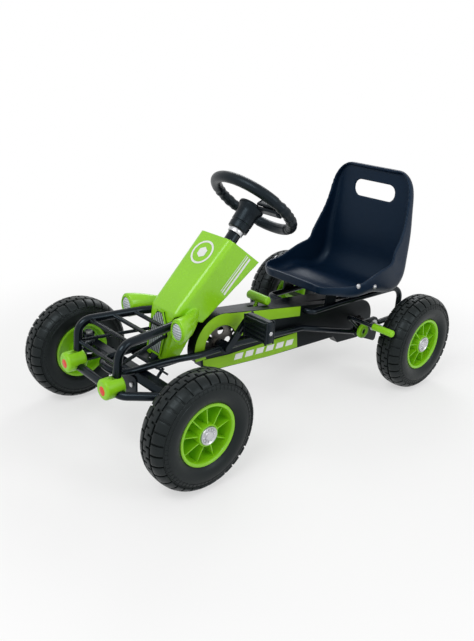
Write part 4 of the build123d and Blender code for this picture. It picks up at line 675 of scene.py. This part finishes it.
def round_the_sprockets(share):
    """A point of the chain's closed run, for a share of its length from 0 to 1."""
    across = Vector((REAR_AXLE.y - CRANK.y, REAR_AXLE.z - CRANK.z))
    reach = across.length
    slope = atan2(across.y, across.x)
    lean = asin((BIG_RADIUS - SMALL_RADIUS) / reach)
    straight = reach * cos(lean)
    big_arc = (pi + 2 * lean) * BIG_RADIUS
    small_arc = (pi - 2 * lean) * SMALL_RADIUS
    left = share % 1.0 * (2 * straight + big_arc + small_arc)
    up = slope + pi / 2 - lean
    if left < straight:
        return around(CRANK, BIG_RADIUS, up) + left * Vector((cos(up - pi / 2), sin(up - pi / 2)))
    left -= straight
    if left < small_arc:
        return around(REAR_AXLE, SMALL_RADIUS, up - left / SMALL_RADIUS)
    left -= small_arc
    down = slope - pi / 2 + lean
    if left < straight:
        return around(REAR_AXLE, SMALL_RADIUS, down) + left * Vector((cos(down - pi / 2), sin(down - pi / 2)))
    return around(CRANK, BIG_RADIUS, down - (left - straight) / BIG_RADIUS)


def chain_link(plate_offset):
    """Two side plates one pitch long and the roller at their first end."""
    plates = []
    for side in (-1, 1):
        outline = []
        for centre, start in ((CHAIN_PITCH, -90), (0.0, 90)):
            for step in range(5):
                turn = radians(start + step * 45)
                outline.append((
                    side * plate_offset, centre + PLATE_ROUND * cos(turn), PLATE_ROUND * sin(turn)))
        plates.append(flat_plate(outline + outline[:1], 0.0011))
    bpy.ops.mesh.primitive_cylinder_add(
        vertices=10, radius=0.0038, depth=2 * plate_offset, location=(0, 0, 0), rotation=(0, radians(90), 0))
    roller = done(bpy.context.object)
    bpy.ops.mesh.primitive_cylinder_add(
        vertices=8, radius=0.0018, depth=0.0094, location=(0, 0, 0), rotation=(0, radians(90), 0))
    return joined(roller, done(bpy.context.object), *plates)


link_models = [chain_link(0.0036), chain_link(0.0024)]
links = []
for count in range(CHAIN_LINKS):
    first = round_the_sprockets(count / CHAIN_LINKS)
    second = round_the_sprockets((count + 1) / CHAIN_LINKS)
    copy = twin(link_models[count % 2])
    copy.location = (CHAIN_X, first.x, first.y)
    copy.rotation_euler = (atan2(second.y - first.y, second.x - first.x), 0, 0)
    links.append(copy)
piece(done(joined(*links)), "roller_chain", chain_steel, "frame", "chain")
for model in link_models:
    bpy.data.objects.remove(model)

# ---------------------------------------------------------------- seat bolts
BOLT_PLACES = ((0.222, 0.287), (0.288, 0.274))


def bolt_model():
    """Pan-head bolt on a washer, standing on the origin and facing along X."""
    return done(turned([(x * MM, radius * MM) for x, radius in (
        (-1.0, 0), (-1.0, 6.2), (0.9, 6.2), (1.1, 5.8), (1.1, 4.2), (2.6, 4.2), (3.8, 3.4), (4.2, 2.6),
        (4.2, 1.6), (2.8, 1.2), (2.8, 0))], 28), 40)


bolt = bolt_model()
bolts = []
for side in (1, -1):
    for y, z in BOLT_PLACES:
        struck, place, out, _ = seat.ray_cast(Vector((side * 0.3, y, z)), Vector((-side, 0, 0)))
        if not struck:
            raise RuntimeError("no seat wall for a bolt")
        copy = twin(bolt)
        copy.rotation_mode = "QUATERNION"
        copy.rotation_quaternion = out.to_track_quat("X", "Z")
        copy.location = place
        bolts.append(done(copy, 40))
piece(done(joined(*bolts), 40), "seat_bolts", zinc, "frame")
bpy.data.objects.remove(bolt)

# ---------------------------------------------------------------- brake knob
low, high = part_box("brake_knob")
knob_centre = Vector((low[0], (low[1] + high[1]) / 2, (low[2] + high[2]) / 2))
knob = done(turned([(x * MM, radius * MM) for x, radius in (
    (0.0, 5.2), (0.0, 18.6), (1.2, 20.2), (4.0, 20.4), (8.0, 20.2), (10.6, 18.6), (11.8, 15.6), (11.8, 9.4),
    (10.8, 8.0), (7.5, 7.0), (7.5, 5.2), (0.0, 5.2))], 72), 45)
knob.location = knob_centre
piece(done(knob, 45), "brake_pivot_knob", lime_part, "brake", "brake_knob")
# painted shade: a black cap set in the knob's bore stands for the shade inside its hole
hole_shade = done(turned([(x * MM, radius * MM) for x, radius in (
    (4.0, 0.0), (4.0, 6.8), (8.4, 6.6), (9.2, 5.6), (9.2, 3.6), (8.0, 2.8), (8.0, 0.0))], 48), 45)
hole_shade.location = knob_centre
piece(done(hole_shade, 45), "brake_knob_plug", black_plastic, "brake")

# ---------------------------------------------------------------- fairing trim
NOSE_CORNER = Vector((0, -0.29125, 0.292))
CROWN_RUN = Vector((0, 0.1485, 0.151)).normalized()
CROWN_FACE = Vector((0, -CROWN_RUN.z, CROWN_RUN.y))
NOSE_MIDDLE = Vector((0, -0.30225, 0.2355))
NOSE_RUN = Vector((0, -0.022, -0.113)).normalized()
NOSE_FACE = Vector((0, NOSE_RUN.z, -NOSE_RUN.y))
ACROSS = Vector((1, 0, 0))
MARK_UP_CROWN = 0.160
GRILLE_RISE = 4.6 * MM
FILM = 0.0004


def laid(obj, centre, along, out):
    """Puts a piece modelled flat at the origin, its X along a surface and its Z away from it."""
    obj.matrix_world = Matrix.Translation(centre) @ Matrix(
        (along, out.cross(along), out)).transposed().to_4x4()
    return done(obj, 40)


def draped(obj, surface, lift):
    """Lays a thin film over a surface."""
    modify(
        obj, "SHRINKWRAP", target=surface, wrap_method="NEAREST_SURFACEPOINT", wrap_mode="ABOVE_SURFACE",
        offset=lift)
    return done(obj)


mark_place = NOSE_CORNER + CROWN_RUN * MARK_UP_CROWN + CROWN_FACE * FILM
bands = [turned([(0, 0.0265), (0, 0.0315), (0.0003, 0.0315), (0.0003, 0.0265), (0, 0.0265)], 96)]
done(bands[0])
bpy.ops.mesh.primitive_cylinder_add(
    vertices=6, radius=0.0145, depth=0.0003, location=(0.00015, 0, 0), rotation=(0, radians(90), 0))
bands.append(done(bpy.context.object))
mark = joined(*bands)
mark.rotation_euler = (0, radians(-90), 0)
done(mark)
piece(laid(mark, mark_place, ACROSS, CROWN_FACE), "plain_ring_mark", white_film, "frame")

lenses = []
bezels = []
for side in SIDES.values():
    centre = Vector((side * 0.098, -0.32275, 0.276))
    bpy.ops.mesh.primitive_uv_sphere_add(
        segments=40, ring_count=20, radius=1, location=centre + Vector((0, 0.001, 0)))
    lens = bpy.context.object
    lens.scale = (0.0168, 0.0045, 0.0192)
    lenses.append(done(lens))
    bpy.ops.mesh.primitive_torus_add(
        major_segments=64, minor_segments=12, major_radius=1, minor_radius=0.1, location=centre,
        rotation=(radians(90), 0, 0))
    bezel = bpy.context.object
    bezel.scale = (0.0190, 0.0215, 0.022)
    bezels.append(done(bezel))
piece(joined(*lenses), "lamp_lenses", lens_grey, "frame", "headlight_lenses")
piece(joined(*bezels), "lamp_bezels", lime_part, "frame")


def bar_between(start, end, width, height):
    """A thin rounded bar on the nose between two points given across and up its face."""
    first, second = (
        NOSE_MIDDLE + ACROSS * (x * MM) - NOSE_RUN * (up * MM) + NOSE_FACE * GRILLE_RISE
        for x, up in (start, end))
    run = second - first
    bar = block((run.length + width * MM, width * MM, height * MM), (0, 0, 0), 0.4 * MM, 2)
    return laid(bar, (first + second) / 2, run.normalized(), NOSE_FACE)


slat_tops = ((-19, 34), (-12.7, 42), (-6.3, 46), (0, 47), (6.3, 46), (12.7, 42), (19, 34))
slats = [bar_between((x, -41), (x, top), 2.6, 1.8) for x, top in slat_tops]
piece(joined(*slats), "grille_slats", silver_plastic, "frame")
grille_edge = [(-24, -46), (-30, 22), (-10, 52), (10, 52), (30, 22), (24, -46), (-24, -46)]
surround = [bar_between(start, end, 4.4, 2.6) for start, end in zip(grille_edge, grille_edge[1:])]
piece(joined(*surround), "grille_surround", lime_part, "frame")

# ---------------------------------------------------------------- stripes in place of words
GUARD_FACE_X = 0.0588
DASH_OUTLINE = ((0.0, -0.0075), (0.026, -0.0090), (0.031, 0.0060), (0.005, 0.0075))
dashes = []
for step in range(6):
    y = -0.118 + step * 0.036
    z = 0.1435 - step * 0.0022
    dashes.append(flat_plate([(GUARD_FACE_X, y + along, z + up) for along, up in DASH_OUTLINE], FILM))
piece(joined(*dashes), "guard_dashes", white_film, "frame")

side_lines = []
for width, offset in ((6.0, 0.0), (3.5, 9.0), (2.0, 15.0)):
    bpy.ops.mesh.primitive_plane_add(size=1, location=(0, 0, 0))
    line = bpy.context.object
    line.scale = (0.105, width * MM, 1)
    bpy.ops.object.transform_apply(location=False, rotation=False, scale=True)
    edit(line)
    bpy.ops.mesh.select_all(action="SELECT")
    bpy.ops.mesh.subdivide(number_cuts=12)
    bpy.ops.object.mode_set(mode="OBJECT")
    middle = Vector((0.0585, -0.118, 0.350)) + CROWN_FACE * (offset * MM)
    side_lines.append(draped(laid(line, middle, CROWN_RUN, ACROSS), shell, FILM))
piece(joined(*side_lines), "fairing_lines", white_film, "frame")

# ---------------------------------------------------------------- floor, light and camera
bpy.ops.mesh.primitive_circle_add(vertices=96, radius=9, fill_type="NGON", location=(0, 0, 0))
floor = bpy.context.object
floor.name = "studio_floor"
pale = Finish("studio_floor", (0.86, 0.86, 0.86), 0.9)
paths = pale.tree.nodes.new("ShaderNodeLightPath")
seen = Sum(pale, paths.outputs["Is Camera Ray"]) + Sum(pale, paths.outputs["Is Glossy Ray"])
seen = seen + Sum(pale, paths.outputs["Is Transmission Ray"])
away = pale.node("ShaderNodeVectorMath", {"operation": "LENGTH"}, (pale.place(),), 0)
paper = seen * (0.55 + 0.45 * away.above(0.95, 0.5))
glow = pale.tree.nodes.new("ShaderNodeEmission")
glow.inputs["Strength"].default_value = 1.0
mixed = pale.tree.nodes.new("ShaderNodeMixShader")
pale.tree.links.new(paper.socket, mixed.inputs[0])
pale.tree.links.new(pale.shader.outputs[0], mixed.inputs[1])
pale.tree.links.new(glow.outputs[0], mixed.inputs[2])
pale.tree.links.new(mixed.outputs[0], pale.tree.nodes["Material Output"].inputs["Surface"])
floor.data.materials.append(pale.material)

world = bpy.data.worlds.new("studio")
bpy.context.scene.world = world
world.use_nodes = True
air = world.node_tree
sky = air.nodes["Background"]
white = air.nodes.new("ShaderNodeBackground")
for background, strength in ((sky, 0.55), (white, 1.0)):
    background.inputs["Color"].default_value = (1, 1, 1, 1)
    background.inputs["Strength"].default_value = strength
ray = air.nodes.new("ShaderNodeLightPath")
chosen = air.nodes.new("ShaderNodeMixShader")
direct = air.nodes.new("ShaderNodeMath")
direct.operation = "ADD"
shown = air.nodes.new("ShaderNodeMath")
shown.operation = "ADD"
shown.use_clamp = True
for start, end in (
        (ray.outputs["Is Camera Ray"], direct.inputs[0]),
        (ray.outputs["Is Transmission Ray"], direct.inputs[1]),
        (direct.outputs[0], shown.inputs[0]), (ray.outputs["Is Glossy Ray"], shown.inputs[1]),
        (shown.outputs[0], chosen.inputs[0]), (sky.outputs[0], chosen.inputs[1]),
        (white.outputs[0], chosen.inputs[2]),
        (chosen.outputs[0], air.nodes["World Output"].inputs["Surface"])):
    air.links.new(start, end)


def lamp(name, place, aim, size, power):
    """A soft rectangular studio light turned towards a point."""
    bpy.ops.object.light_add(type="AREA", location=place)
    light = bpy.context.object
    light.name = name
    light.data.shape = "RECTANGLE"
    light.data.size = size[0]
    light.data.size_y = size[1]
    light.data.energy = power
    light.rotation_euler = (Vector(aim) - Vector(place)).to_track_quat("-Z", "Y").to_euler()


lamp("key_softbox", (0.6, -1.9, 2.3), (0, 0, 0.2), (1.5, 1.0), 30)
lamp("side_softbox", (2.3, 0.5, 1.5), (0, 0, 0.25), (1.0, 1.4), 14)
lamp("rear_strip", (-1.3, 1.6, 1.8), (0, 0.1, 0.3), (1.2, 0.5), 16)

bpy.ops.object.camera_add(location=(1.130318, -1.101931, 0.836403))
camera = bpy.context.object
camera.name = "camera"
camera.matrix_world = Matrix((
    (0.663105, -0.311661, 0.680558, 1.130318),
    (0.747119, 0.219836, -0.627284, -1.101931),
    (0.045889, 0.924413, 0.378622, 0.836403),
    (0.0, 0.0, 0.0, 1.0)))
camera.data.lens = 36.928
camera.data.sensor_width = 36.0
camera.data.sensor_fit = "AUTO"
camera.data.clip_start = 0.02
bpy.context.scene.camera = camera
bpy.context.scene.view_settings.view_transform = "Standard"
